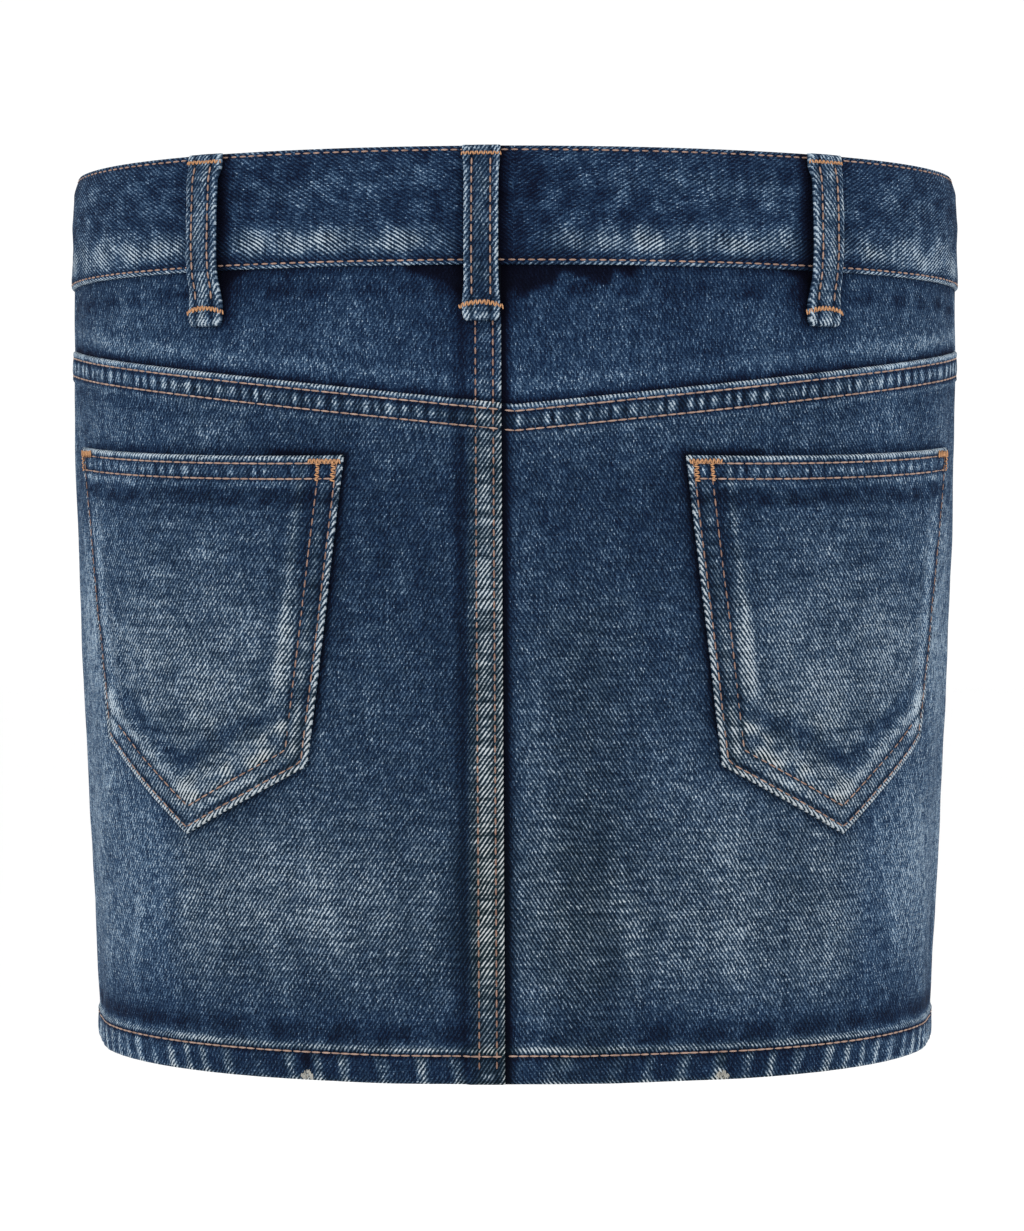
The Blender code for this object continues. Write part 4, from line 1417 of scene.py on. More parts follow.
POINT_SHARE = (POCKET_CORNERS["low_outer"][0] - POCKET_CORNERS["point"][0]) / (
    POCKET_CORNERS["low_outer"][0] - POCKET_CORNERS["low_inner"][0]
)
POCKET_EDGE = (0.0, 0.0002, 0.0006, 0.0012, 0.0019, 0.0027, 0.0042, 0.0058, 0.0072, 0.0086, 0.0100)
POCKET_EDGE += (0.0116, 0.0132, POCKET_TURNING, 0.0153, 0.0161, 0.0169)
POCKET_TOP_EDGE = (0.0, 0.0002, 0.0006, 0.0012, 0.0020, 0.0029, 0.0040, 0.0055, 0.0070, 0.0086)
POCKET_TOP_EDGE += (0.0096, POCKET_HEM, 0.0113, 0.0121, 0.0130)
POCKET_HALF_COLUMNS, POCKET_EVEN_ROWS = 19, 62


def pocket_rise(to_edge, below_top, around, down):
    """The pocket's outer face above the panel: turned edges, top hem and a slack middle."""
    turned = step_down(to_edge, POCKET_TURNING)
    turned = np.maximum(turned, step_down(below_top, POCKET_HEM))
    ridge = 0.00042 * glow(to_edge - POCKET_TURNING, 0.0013)
    slack = 0.0009 * (1 - turned) * bump(down - 0.165, 0.08)
    pucker = 0.00016 * waves(around, down, 0.0058, 101) * glow(to_edge - 0.005, 0.004)
    pucker = pucker + 0.00020 * waves(around, down, 0.0060, 102) * glow(below_top - 0.0058, 0.0036)
    dip = rows_dip(to_edge, POCKET_ROWS) + rows_dip(below_top, POCKET_TOP_ROWS)
    rise = POCKET_STAND + CLOTH + POCKET_RISE * turned + ridge + slack + pucker - dip
    return rise - rounded(to_edge, 0.0010) - rounded(below_top, 0.0010)


def make_pocket(word, side):
    columns_half = stations(POCKET_EDGE, (0.0,), POCKET_HALF_COLUMNS)
    rows = stations(POCKET_TOP_EDGE, POCKET_EDGE, POCKET_EVEN_ROWS)
    top_middle = corner_mix("top_outer", "top_inner", POINT_SHARE)
    count = 2 * len(columns_half[0]) - 1
    spine = count // 2

    def arounds(share):
        outer_edge = corner_mix("top_outer", "low_outer", share)[0]
        inner_edge = corner_mix("top_inner", "low_inner", share)[0]
        middle = top_middle[0] + (POCKET_CORNERS["point"][0] - top_middle[0]) * share
        shift, part = columns_half
        left = outer_edge - shift + part * (middle - outer_edge)
        right = inner_edge + shift + part * (middle - inner_edge)
        return np.concatenate([left, right[..., ::-1][..., 1:]], axis=-1)

    ends = arounds(np.array([[1.0]]))[0]
    tops = arounds(np.array([[0.0]]))[0]
    top_share = (tops[0] - tops) / (tops[0] - tops[-1])
    top = corner_mix("top_outer", "top_inner", top_share)[1]
    top = top + POCKET_TOP_SAG * 4 * top_share * (1 - top_share)
    outer_share = np.clip((ends[0] - ends) / (ends[0] - ends[spine]), 0, 1)
    inner_share = np.clip((ends[spine] - ends) / (ends[spine] - ends[-1]), 0, 1)
    bottom = np.where(
        np.arange(count) <= spine,
        corner_mix("low_outer", "point", outer_share)[1],
        corner_mix("point", "low_inner", inner_share)[1],
    )
    shift, part = rows
    down = top[None, :] + shift[:, None] + part[:, None] * (bottom - top)[None, :]
    share = (down - top) / (bottom - top)
    around = [arounds(share[:, column : column + 1])[:, column] for column in range(count)]
    around = np.stack(around, axis=1)

    to_edge = inside_pocket(around, down)
    below_top = down - top[None, :]
    rise = pocket_rise(to_edge, below_top, around, down)
    placed = side * around
    faces = skin(placed, down, rise), skin(placed, down, np.full(down.shape, POCKET_STAND))
    paint = pocket_paint(around, down, to_edge, below_top)
    rests_on = ["back_cloth_" + word]
    add_cloth("pocket_" + word, faces, (placed, down), paint, PANEL_DENIM[side], rests_on)


def from_pocket_edge(first, second, around, down):
    """Distance in from the line through two of the pocket's corners."""
    a0, d0 = POCKET_CORNERS[first]
    a1, d1 = POCKET_CORNERS[second]
    length = math.hypot(a1 - a0, d1 - d0)
    return ((around - a0) * (d1 - d0) - (down - d0) * (a1 - a0)) / length


def inside_pocket(around, down):
    """Distance in from the pocket's sides and point, leaving out its top edge."""
    sides = zip(POCKET_SIDES, POCKET_SIDES[1:])
    away = (from_pocket_edge(first, second, around, down) for first, second in sides)
    return np.maximum(functools.reduce(np.minimum, away), 0.0)


CORD_TURN = 0.0023
POCKET_SPOTS = (
    # amount, around, down, half width, half height
    (-0.14, 0.130, 0.2140, 0.045, 0.0160),
    (-0.12, 0.078, 0.150, 0.022, 0.050),
)
POCKET_TOP_LINES = (
    # amount, distance below the top, width: a pale rubbed edge, painted shade in the gutters of its two
    # rows, a pale line below the hem
    (0.90, 0.0005, 0.0012),
    (-0.90, POCKET_TOP_ROWS[0], 0.0009),
    (-0.80, POCKET_TOP_ROWS[1], 0.0009),
    (0.30, POCKET_HEM + 0.0004, 0.0011),
)


def pocket_paint(around, down, to_edge, below_top):
    """The pocket is rubbed pale in its middle, on its edges and over its lower turnings, with painted shade
    below its top hem and in its rows' gutters.
    """
    shade_and_fade = -1.36 + 0.10 * waves(around, down, 0.030, 111) + 0.08 * waves(around, down, 0.010, 112)
    shade_and_fade += 0.13 * waves(down, around, 0.0042, 113, 7.0) * bump(around - 0.135, 0.05)
    dark = ragged_dark_patches(around, down, 0.010, 116)
    centre = np.interp(down, (0.125, 0.142, 0.165, 0.190, 0.225, 0.250), (0, 0.12, 0.55, 1, 1, 0.8))
    shade_and_fade += 0.47 * centre * bump(around - 0.140, 0.105) - 0.16 * centre * bump(around - 0.1330, 0.0110)
    shade_and_fade += spots(around, down, POCKET_SPOTS)
    shade_and_fade += 0.14 * soft_ramp(around, 0.185, 0.160) * ramp(0.13 - down, 0, 0.02)
    # A painted shadow below the top hem's step, in ragged patches.
    shade_and_fade -= (0.22 + 0.52 * dark) * soft_ramp(np.abs(below_top - 0.0152), 0.0022, 0.0054)
    outer = soft_ramp(around, 0.165, 0.125)
    shade_and_fade += outer * (0.20 * ramp(down, 0.125, 0.165) + 0.25 * glow(below_top - POCKET_HEM - 0.0010, 0.0016))
    shade_and_fade += 0.06 * bump(below_top - 0.0060, 0.0030)
    to_side = from_pocket_edge("top_inner", "low_inner", around, down)
    to_inner = from_pocket_edge("low_inner", "point", around, down)
    to_outer = from_pocket_edge("point", "low_outer", around, down)
    to_sewn = np.minimum(to_side, np.minimum(to_inner, to_outer))
    lower = soft_ramp(0.212 - down, -0.006, 0.024)
    half_down = ramp(0.180 - down, 0.0, 0.035)
    # The inner side's turning: dark at the top, pale lower down, with a pale ridge at its end.
    column = bump(to_side - 0.0118, 0.0036) * (1 - lower)
    shade_and_fade += column * (0.30 * half_down - 0.40 * (1 - half_down))
    ridge = glow(to_side - POCKET_TURNING - 0.0004, 0.0018) * (1 - lower)
    brighter = 0.34 + 0.34 * half_down + 0.16 * waves(around, down, 0.020, 114)
    shade_and_fade += ridge * brighter * ramp(0.128 - down, 0, 0.02)
    shade_and_fade -= 0.16 * bump(to_side - 0.0205, 0.0045) * (1 - lower)
    # The outer side is smooth and pale, and palest by the lower corner.
    smoky = glow(from_pocket_edge("low_outer", "top_outer", around, down) - 0.0072, 0.0036)
    blotch = bump(np.hypot(around - 0.1700, (down - 0.2120) / 2.2), 0.0065)
    shade_and_fade += 0.36 * smoky * ramp(0.150 - down, 0.0, 0.026) + 0.60 * blotch
    inner = soft_ramp(around - 0.128, -0.004, 0.004)
    patch = np.clip(0.62 + 0.70 * waves(around, down, 0.013, 115, 0.8), 0.0, 1.15)
    broad = ramp(to_inner, 0.0178, 0.0200) * ramp(0.0095 - to_sewn, 0.0, 0.0010) * inner
    broad = broad * soft_ramp(0.2147 + 0.74 * (around - 0.0897) - down, -0.0016, 0.0016)
    narrow = bump(to_outer - 0.0128, 0.0030) * (1 - inner)
    tip = bump(np.hypot(around - 0.1285, down - 0.2402), 0.0078)
    rubbed = np.clip(broad * patch + tip, 0, 1.1)
    corner = bump(np.hypot(around - 0.0935, down - 0.2090), 0.0052)
    shade_and_fade += 0.84 * rubbed + 0.34 * narrow + 0.30 * corner
    hollow = bump(np.minimum(to_inner, to_outer + 0.004) - 0.0240, 0.0062) * lower
    shade_and_fade -= (0.34 + 0.34 * dark) * hollow
    shade_and_fade += 0.30 * lower * patch * bump(to_edge - 0.0056, 0.0030) * inner
    # Its sewn sides are rubbed into a pale twisted cord.
    cord = np.sin(2 * np.pi * (down + 0.6 * around) / CORD_TURN - 900 * to_edge)
    shade_and_fade += (0.58 + 0.42 * cord) * glow(to_sewn - 0.0005, 0.0012)
    shade_and_fade += 0.30 * glow(to_edge - 0.0003, 0.0009) + lines(below_top, POCKET_TOP_LINES)
    # Painted shade in the gutters of its side rows.
    shade_and_fade -= 1.20 * glow(to_edge - 0.0031, 0.0008) + 1.15 * glow(to_sewn - 0.0091, 0.0008)
    worn = 0.13 + 0.17 * centre + 0.35 * glow(to_edge, 0.0016) + 0.35 * glow(below_top, 0.0014)
    worn += 0.36 * rubbed + 0.20 * ridge + 0.16 * lower * inner * patch + 0.20 * blotch
    worn += 0.22 * column * half_down - 0.12 * smoky - 0.10 * soft_ramp(around, 0.165, 0.135)
    worn += 0.14 * corner - 0.16 * hollow
    side_rows = bump(to_side - 0.0055, 0.0036) * ramp(0.0100 - below_top, 0.0, 0.001)
    worn += 0.20 * side_rows
    pucker = 0.46 * bump(below_top - 0.0058, 0.0034) - 0.22 * side_rows
    return shade_and_fade, worn, pucker


# --- Belt loops -----------------------------------------------------------------------------------


def loop_form(loop, down):
    """Inner face's distance out, thickness and width of a belt loop, smoothed along its length."""
    dense = np.linspace(-0.004, 0.070, 149)
    kernel = np.bartlett(11)
    kernel = kernel / kernel.sum()
    shown = []
    for column in (1, 2, 3):
        steps = np.interp(dense, LOOP_SHAPE[:, 0], LOOP_SHAPE[:, column])
        padded = np.pad(steps, 5, mode="edge")
        shown.append(np.interp(down, dense, np.convolve(padded, kernel, mode="valid")))
    stand, thickness, width = shown
    ground = LAP_RISE if loop is CENTRE_LOOP else 0.0
    return np.maximum(stand, ground + LOOP_SHAPE[-1, 1]), thickness, width


LOOP_SIDE_EDGE = (0.0, 0.0002, 0.0006, 0.0011, 0.0017, 0.0024)
LOOP_EVEN_ROWS, LOOP_COLUMNS = 72, 13


def make_loop(loop):
    top, bottom = LOOP_SHAPE[0, 0], LOOP_SHAPE[-1, 0]
    down = along(stations(EDGE, EDGE, LOOP_EVEN_ROWS), top, bottom)[:, None]
    stand, thickness, width = loop_form(loop, down)
    half = width / 2 - 0.35 * rounded(bottom - down, 0.0040)
    across = along(stations(LOOP_SIDE_EDGE, LOOP_SIDE_EDGE, LOOP_COLUMNS), -half, half)
    down = np.broadcast_to(down, across.shape)
    around = loop_middle(loop, down) + across
    to_edge = half - np.abs(across)
    to_end = np.minimum(down - top, bottom - down)
    seed = len(loop.word)
    ripple = 0.00016 * waves(across, down, 0.011, 121 + seed)
    ripple = ripple + 0.00009 * waves(across, down, 0.005, 122 + seed)
    rows = glow(np.abs(across) - LOOP_ROW, 0.0008)
    rise = stand + thickness + ripple + 0.00030 * glow(across, 0.0026) - 0.00024 * rows - 0.0002
    rise = rise - rounded(to_edge, 0.0011) - rounded(to_end, 0.0016)
    faces = skin(around, down, rise), skin(around, down, np.broadcast_to(stand, rise.shape))
    streak = waves(across, down, 0.0050, 123 + seed, 2.6)
    rubbed = np.clip(0.55 + 0.6 * waves(across, down, 0.0095, 125 + seed, 1.6), 0, 1)
    shade_and_fade = -1.14 + 0.18 * streak + 0.14 * waves(across, down, 0.016, 124 + seed)
    shade_and_fade = shade_and_fade + (0.28 + 0.42 * rubbed) * glow(to_edge - 0.0005, 0.0007)
    middle = 0.10 - (loop is CENTRE_LOOP) * (0.40 + 0.42 * bump(down - 0.046, 0.016))
    # Painted shade in the gutters of its two rows.
    shade_and_fade = shade_and_fade - 0.95 * rows + middle * glow(across, 0.0024)
    # Its two ends are folded under: rubbed pale on the fold and dark above the sewing.
    roll = bottom - down
    shade_and_fade = shade_and_fade + lines(roll, ((0.58, 0.0014, 0.0018), (-0.30, 0.0076, 0.0016)))
    shade_and_fade = shade_and_fade + lines(down, ((0.45, top + 0.0010, 0.0012), (-0.35, 0.0062, 0.0014)))
    worn = 0.20 + 0.05 * glow(roll - 0.0012, 0.0026) + 0.16 * np.clip(streak, 0, 1)
    materials, rests_on = [DENIM[loop.side]] * 2, ["waistband_cloth"]
    add_cloth("loop_" + loop.word, faces, (around, down), (shade_and_fade, worn), materials, rests_on)


# --- Sewing ---------------------------------------------------------------------------------------


def lay_out(route_around, route_down, out):
    """Points and normals along a row of sewing, SEWING_STEP apart."""
    points, normals = skin(route_around, route_down, out, with_normals=True)
    run = np.concatenate([[0], np.cumsum(np.linalg.norm(np.diff(points, axis=0), axis=1))])
    steps = np.arange(0, run[-1], SEWING_STEP)
    points, normals = (
        np.stack([np.interp(steps, run, table[:, axis]) for axis in range(3)], axis=-1)
        for table in (points, normals)
    )
    return steps, points, normals


def add_strand(shape, start, end, normal, radius):
    """One thread of sewing between two points, thickest in its middle."""
    middle = (start + end) / 2
    length = np.linalg.norm(end - start)
    lead = (end - start) / length
    aside = np.cross(normal, lead)
    aside /= np.linalg.norm(aside)
    upward = np.cross(lead, aside)
    frame_columns = (aside * radius, upward * radius * 0.85, lead * length / 2)
    turn = Matrix([[frame_columns[c][r] for c in range(3)] for r in range(3)]).to_4x4()
    place = Matrix.Translation(Vector(middle)) @ turn
    bmesh.ops.create_uvsphere(shape, u_segments=6, v_segments=5, radius=1.0, matrix=place)


def sew(shape, route_around, route_down, out, seed=0, gap=STITCH_GAP, radius=THREAD_RADIUS):
    """A row of lockstitches along a route on the cloth."""
    draw = random.Random(seed)
    steps, points, normals = lay_out(route_around, route_down, out)
    place = FIRST_STITCH
    while place + STITCH_PITCH < steps[-1]:
        length = (STITCH_PITCH - gap) * draw.uniform(0.93, 1.05)
        first = int(place / SEWING_STEP)
        last = min(int((place + length) / SEWING_STEP), len(steps) - 1)
        lift = normals[first] * radius * draw.uniform(-0.15, 0.20)
        add_strand(shape, points[first] + lift, points[last] + lift, normals[first], radius)
        place += STITCH_PITCH * draw.uniform(0.97, 1.03)


def satin(shape, start, end, width, out, arch=0.0, seed=0, half_ground=1.0):
    """A bartack: close threads laid across a bar between two pattern places.

    Past half_ground from its middle the bar runs off the edge of what it holds down.
    """
    draw = np.random.default_rng(seed)
    start, end = np.array(start, float), np.array(end, float)
    length = np.hypot(*(end - start))
    count = int(length / TACK_PITCH)
    odd = np.arange(count) % 2
    share = (np.arange(count) + 0.5) / count
    lead = (end - start) / length
    aside = np.array([-lead[1], lead[0]])
    middle = start + np.outer(share, end - start)
    middle[:, 1] -= arch * 4 * share * (1 - share)
    half = (width / 2 * draw.uniform(0.75, 1.20, count))[:, None] * aside
    lean = (TACK_LEAN * (2 * odd - 1))[:, None] * lead
    lift = out + 0.00022 * odd + 0.0003
    lift = lift - 0.0013 * ramp(half_ground - np.abs(share - 0.5) * length, -0.0009, 0.0005)
    near, far = middle + half + lean, middle - half - lean
    firsts, normals = skin(near[:, 0], near[:, 1], lift, with_normals=True)
    lasts = skin(far[:, 0], far[:, 1], lift)
    for first, last, normal in zip(firsts, lasts, normals):
        add_strand(shape, first, last, normal, TACK_THREAD_RADIUS)


def sew_waistband():
    shape = bmesh.new()
    for row, down in enumerate((BAND_ROW, BAND_HEIGHT - BAND_ROW)):
        end = band_end(down) - END_ROW
        around = np.linspace(-(to_front(down) - BAND_BUTTON_END), end, 1200)
        sew(shape, around, np.full(around.shape, down), band_rise(around, down), row)
    down = np.linspace(BAND_ROW, BAND_HEIGHT - BAND_ROW, 40)
    around = band_end(down) - END_ROW
    sew(shape, around, down, band_rise(around, down), 3)
    add_trim("sewing_waistband", shape, LOOP_THREAD)


def sew_backs():
    for word, side in SIDES:
        shape = bmesh.new()
        for row, inward in enumerate(SEAM_ROWS):
            start = side * back_lap_edge(YOKE_AT_CENTRE) + ROW_START
            around = side * np.linspace(start, side_seam(YOKE_AT_SIDE) - ROW_END, 400)
            down = yoke_line(around) + inward
            sew(shape, around, down, back_rise(side, around, down), 10 + row + side, CLOSE_GAP)
        start = side * back_lap_edge(HEM_ROW) + ROW_START
        around = side * np.linspace(start, side_seam(HEM_ROW) - ROW_END, 400)
        down = np.full(around.shape, HEM_ROW)
        sew(shape, around, down, back_rise(side, around, down), 20 + side, CLOSE_GAP)
        add_trim("sewing_back_" + word, shape, THREAD)
    shape = bmesh.new()
    for row, inward in enumerate((SEAM_ROW_NEAR + 0.0004, SEAM_ROW_FAR - 0.0003)):
        down = np.linspace(BAND_HEIGHT + ROW_END, SKIRT_LENGTH - 0.0015, 700)
        around = back_lap_edge(down) + inward
        on_yoke = down < yoke_line(around)
        rise = np.where(on_yoke, back_lap_rise(1, around, down), back_rise(1, around, down))
        sew(shape, around, down, rise, 30 + row)
    add_trim("sewing_centre_back", shape, DARK_THREAD)


def fray_nicks():
    """Short loose ends where the hem's fold has worn through."""
    draw = np.random.default_rng(131)
    for (word, _), place in zip(SIDES, NICKS):
        shape = bmesh.new()
        for _ in range(44):
            aside = draw.uniform(-1.0, 1.0)
            around = place + 0.0024 * aside
            down = SKIRT_LENGTH - draw.uniform(0.0002, 0.0030 - 0.0018 * aside**2)
            turn = draw.uniform(1.0, 2.1)
            reach = np.array([math.cos(turn), math.sin(turn)]) * draw.uniform(0.0009, 0.0016)
            arounds = np.array([around, around + reach[0]])
            downs = np.minimum(np.array([down - reach[1], down]), SKIRT_LENGTH - 0.0001)
            rise = back_rise(1, arounds, downs) + draw.uniform(0.0000, 0.0003)
            points, normals = skin(arounds, downs, rise, with_normals=True)
            add_strand(shape, *points, normals[0], FRAYED_RADIUS)
        add_trim("frayed_nick_" + word, shape, FRAY)


def sew_fronts():
    for word, side in SIDES:
        shape = bmesh.new()
        end = to_front(HEM_ROW) + (FRONT_LAP - ROW_END if side > 0 else -TUCK_FULL)
        around = side * np.linspace(side_seam(HEM_ROW) + ROW_END, end, 500)
        down = np.full(around.shape, HEM_ROW)
        sew(shape, around, down, front_outs(side, around, down)[0], 40 + side)
        if side > 0:
            for row, inward in enumerate(FRONT_ROWS):
                start = BAND_HEIGHT + ROW_END if row == 0 else FLY_END
                down = np.linspace(start, SKIRT_LENGTH - 0.002, 600)
                around = front_edge(down) - inward
                sew(shape, around, down, front_outs(1, around, down)[0], 44 + row)
            for row, inset in enumerate(FLY_ROWS):
                around, down = fly_curve(inset)
                sew(shape, around, down, front_outs(1, around, down)[0], 48 + row)
        add_trim("sewing_front_" + word, shape, THREAD)


def fly_curve(inset):
    """The fly's topstitching: straight down, then a quarter turn in to the lap's edge."""
    width = FLY_WIDTH - inset
    turn_height = FLY_TURN - inset
    turn_top = FLY_END - inset - turn_height
    straight = np.linspace(BAND_HEIGHT + ROW_END, turn_top, 80)
    turn = np.linspace(0, np.pi / 2, 60)[1:]
    down = np.concatenate([straight, turn_top + turn_height * np.sin(turn)])
    corner = FLY_FOOT + (width - FLY_FOOT) * np.cos(turn)
    inward = np.concatenate([np.full(straight.shape, width), corner])
    return front_edge(down) - inward, down


def sew_pockets():
    for word, side in SIDES:
        shape = bmesh.new()
        point = bmesh.new()
        for row, inset in enumerate(POCKET_ROWS):
            around, down, below = pocket_route(inset, row)
            to_edge = inside_pocket(around, down)
            rise = pocket_rise(to_edge, below, around, down)
            # The row is brown down the sides and keeps its tan round the point.
            first, last = np.flatnonzero(down > POINT_FROM)[[0, -1]]
            for part, holder in (
                (slice(0, first + 1), shape),
                (slice(first, last + 1), point),
                (slice(last, len(down)), shape),
            ):
                if len(down[part]) > 8:
                    route_part = side * around[part], down[part], rise[part]
                    sew(holder, *route_part, 50 + row + side, LOOSE_GAP, FINE_THREAD)
        add_trim("sewing_pocket_" + word, shape, DARK_THREAD)
        add_trim("sewing_pocket_point_" + word, point, LOOP_THREAD)
        shape = bmesh.new()
        for row, below in enumerate(POCKET_TOP_ROWS):
            share = np.linspace(0.018, 0.982, 240)
            around, down = corner_mix("top_outer", "top_inner", share)
            down = down + POCKET_TOP_SAG * 4 * share * (1 - share) + below
            sides = pocket_side("inner", down) + ROW_END, pocket_side("outer", down) - ROW_END
            around = np.clip(around, *sides)
            to_edge = inside_pocket(around, down)
            rise = pocket_rise(to_edge, np.full(around.shape, below), around, down)
            sew(shape, side * around, down, rise, 60 + row + side, CLOSE_GAP)
        add_trim("sewing_pocket_top_" + word, shape, THREAD)


def pocket_side(which, down):
    """Where the pocket's inner or outer side lies at a height."""
    a0, d0 = POCKET_CORNERS["top_" + which]
    a1, d1 = POCKET_CORNERS["low_" + which]
    return a0 + (a1 - a0) * (down - d0) / (d1 - d0)


def pocket_route(inset, ends_low):
    """A row of sewing down the pocket's inner side, round its point and up to its outer side.

    Where ends_low is set it stops at the outer side's lower corner.
    """
    corners = [np.array(POCKET_CORNERS[name]) for name in POCKET_SIDES]
    corners[0][1] += 0.0015
    corners[-1][1] += 0.0015
    leads = [(b - a) / np.linalg.norm(b - a) for a, b in zip(corners, corners[1:])]
    # Moving in from an edge is a quarter turn from its direction, towards the pocket's middle.
    inward = [np.array([-lead[1], lead[0]]) for lead in leads]
    inward = [n if np.dot(POCKET_MIDDLE - c, n) > 0 else -n for n, c in zip(inward, corners)]
    shifted = [corners[0] + inward[0] * inset]
    for k in range(1, len(leads)):
        a, b = corners[k] + inward[k - 1] * inset, corners[k] + inward[k] * inset
        cross = leads[k - 1][0] * leads[k][1] - leads[k - 1][1] * leads[k][0]
        reach = ((b - a)[0] * leads[k][1] - (b - a)[1] * leads[k][0]) / cross
        shifted.append(a + leads[k - 1] * reach)
    shifted.append(corners[-1] + inward[-1] * inset)
    if ends_low:
        shifted = shifted[:3] + [corners[3] + inward[2] * inset - leads[2] * 0.0005]
    around, down = np.concatenate([np.linspace(a, b, 120) for a, b in zip(shifted, shifted[1:])]).T
    top_width, top_slope = np.array(POCKET_CORNERS["top_outer"]) - POCKET_CORNERS["top_inner"]
    share = (POCKET_CORNERS["top_outer"][0] - around) / top_width
    top = POCKET_CORNERS["top_outer"][1] - top_slope * share
    return around, down, np.maximum(down - top, 0.0)


LOOP_TACKS = (
    # down, arch, half length, width
    (0.0036, 0.0, 0.0074, 0.0015),
    (0.0611, 0.0018, 0.0082, 0.0020),
)


def sew_loops():
    shape = bmesh.new()
    for number, loop in enumerate(LOOPS):
        for aside in (-LOOP_ROW, LOOP_ROW):
            down = np.linspace(*LOOP_ROW_RANGE, 160)
            around = loop_middle(loop, down) + aside
            stand, thickness, _ = loop_form(loop, down)
            sew(shape, around, down, stand + thickness - 0.0002, 70 + number, LOOSE_GAP)
    add_trim("sewing_loops", shape, LOOP_THREAD)
    shape = bmesh.new()
    for number, loop in enumerate(LOOPS):
        for down, arch, half, width in LOOP_TACKS:
            middle = loop_middle(loop, down)
            stand, thickness, _ = loop_form(loop, down)
            bar = (middle - half, down), (middle + half, down)
            satin(shape, *bar, width, stand + thickness - 0.0003, arch, 80 + number, LOOP_HALF)
    add_trim("bartacks_loops", shape, TACK_THREAD)


POCKET_TACKS = (
    # the left pocket's corner, how far from it the bar starts, how far the bar reaches, width
    ("top_inner", (0.0008, 0.0024), (0.0125, -0.0002), 0.0020),
    ("top_inner", (0.0034, 0.0030), (0.0005, 0.0068), 0.0018),
    ("top_inner", (0.0095, 0.0030), (0.0005, 0.0066), 0.0018),
    ("top_outer", (-0.0008, 0.0026), (-0.0100, 0.0004), 0.0026),
    ("top_outer", (-0.0022, 0.0034), (-0.0006, 0.0060), 0.0016),
)


def sew_pocket_tacks():
    shape = bmesh.new()
    height = POCKET_STAND + CLOTH + POCKET_RISE - 0.0001
    for _, side in SIDES:
        for number, (corner, start, reach, width) in enumerate(POCKET_TACKS):
            begin = (POCKET_CORNERS[corner] + np.array(start)) * (side, 1)
            satin(shape, begin, begin + np.array(reach) * (side, 1), width, height, seed=90 + number)
    fly_foot = front_edge(FLY_END)
    fly_side = fly_foot - FLY_WIDTH + 0.003
    bars = (
        # from around, down; to around, down
        ((fly_foot - 0.0105, FLY_END - 0.002), (fly_foot - 0.0035, FLY_END - 0.001)),
        ((fly_side, FLY_END - 0.036), (fly_side + 0.0075, FLY_END - 0.030)),
    )
    for number, bar in enumerate(bars):
        satin(shape, *bar, 0.002, 0.0, seed=97 + number)
    add_trim("bartacks_pockets", shape, TACK_THREAD)


# --- Fly zip and button ---------------------------------------------------------------------------


def seat(around, down, out=0.0):
    """A frame on the surface: X runs round the body, Y points away from it and Z runs up it."""
    reach = 0.004

    def near(across, below, away):
        return Vector(skin(around + across * reach, down + below * reach, out + away * reach))

    middle = near(0, 0, 0)
    round_body = (near(1, 0, 0) - near(-1, 0, 0)).normalized()
    upward = (near(0, -1, 0) - near(0, 1, 0)).normalized()
    outward = upward.cross(round_body).normalized()
    if outward.dot(near(0, 0, 1) - middle) < 0:
        outward.negate()
    upward = round_body.cross(outward)
    turn = Matrix((round_body, outward, upward)).transposed().to_4x4()
    return Matrix.Translation(middle) @ turn


def tape_depth(side, from_chain):
    """How far a zip tape lies behind the front: deepest along the chain."""
    share = ramp(from_chain, 0.004, 0.010)
    return TAPE_EDGE_DEPTH[side] + (CHAIN_DEPTH - TAPE_EDGE_DEPTH[side]) * share


def make_tape(word, side):
    down = np.linspace(TAPE_TOP, ZIP_END, 120)[:, None]
    share = np.linspace(0, 1, 15)[None, :]
    spread = TAPE_SPREAD * ramp(down, TAPE_SPREAD_END - 0.003, TAPE_SPREAD_END)
    from_chain = TAPE_GAP + spread + (TAPE_WIDTH - spread) * share
    around = to_front(down) - ZIP_BEHIND_CENTRE - side * from_chain
    down = np.broadcast_to(down, around.shape)
    depth = tape_depth(side, from_chain)
    faces = skin(around, down, -depth), skin(around, down, -depth - TAPE_THICKNESS)
    piece = cloth("zip_ribbon_" + word, *faces, weave_place(around, down), {}, (TAPE, TAPE))
    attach(piece, "root")
    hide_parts("zip_tape_" + word)


def make_teeth():
    """The chain: meshed metal teeth down the middle of the zip, on both faces of the tapes."""
    shape = bmesh.new()
    for k in range(int((ZIP_END - 0.004 - 0.0575) / TEETH_PITCH)):
        down = TEETH_TOP + TEETH_PITCH * k
        middle = to_front(down) - ZIP_BEHIND_CENTRE
        aside = TEETH_ASIDE if k % 2 else -TEETH_ASIDE
        place = seat(middle + aside, down, -CHAIN_DEPTH - TAPE_THICKNESS / 2)
        tooth = bmesh.ops.create_cube(shape, size=1.0)["verts"]
        bmesh.ops.scale(shape, vec=TOOTH_SIZE, verts=tooth)
        bmesh.ops.transform(shape, matrix=place, verts=tooth)
    bmesh.ops.bevel(
        shape,
        geom=shape.edges[:],
        offset=0.00022,
        offset_type="OFFSET",
        segments=1,
        profile=0.5,
        affect="EDGES",
        material=-1,
    )
    teeth = add_trim("zip_teeth", shape, BRASS)
    teeth.data.set_sharp_from_angle(angle=math.radians(35))


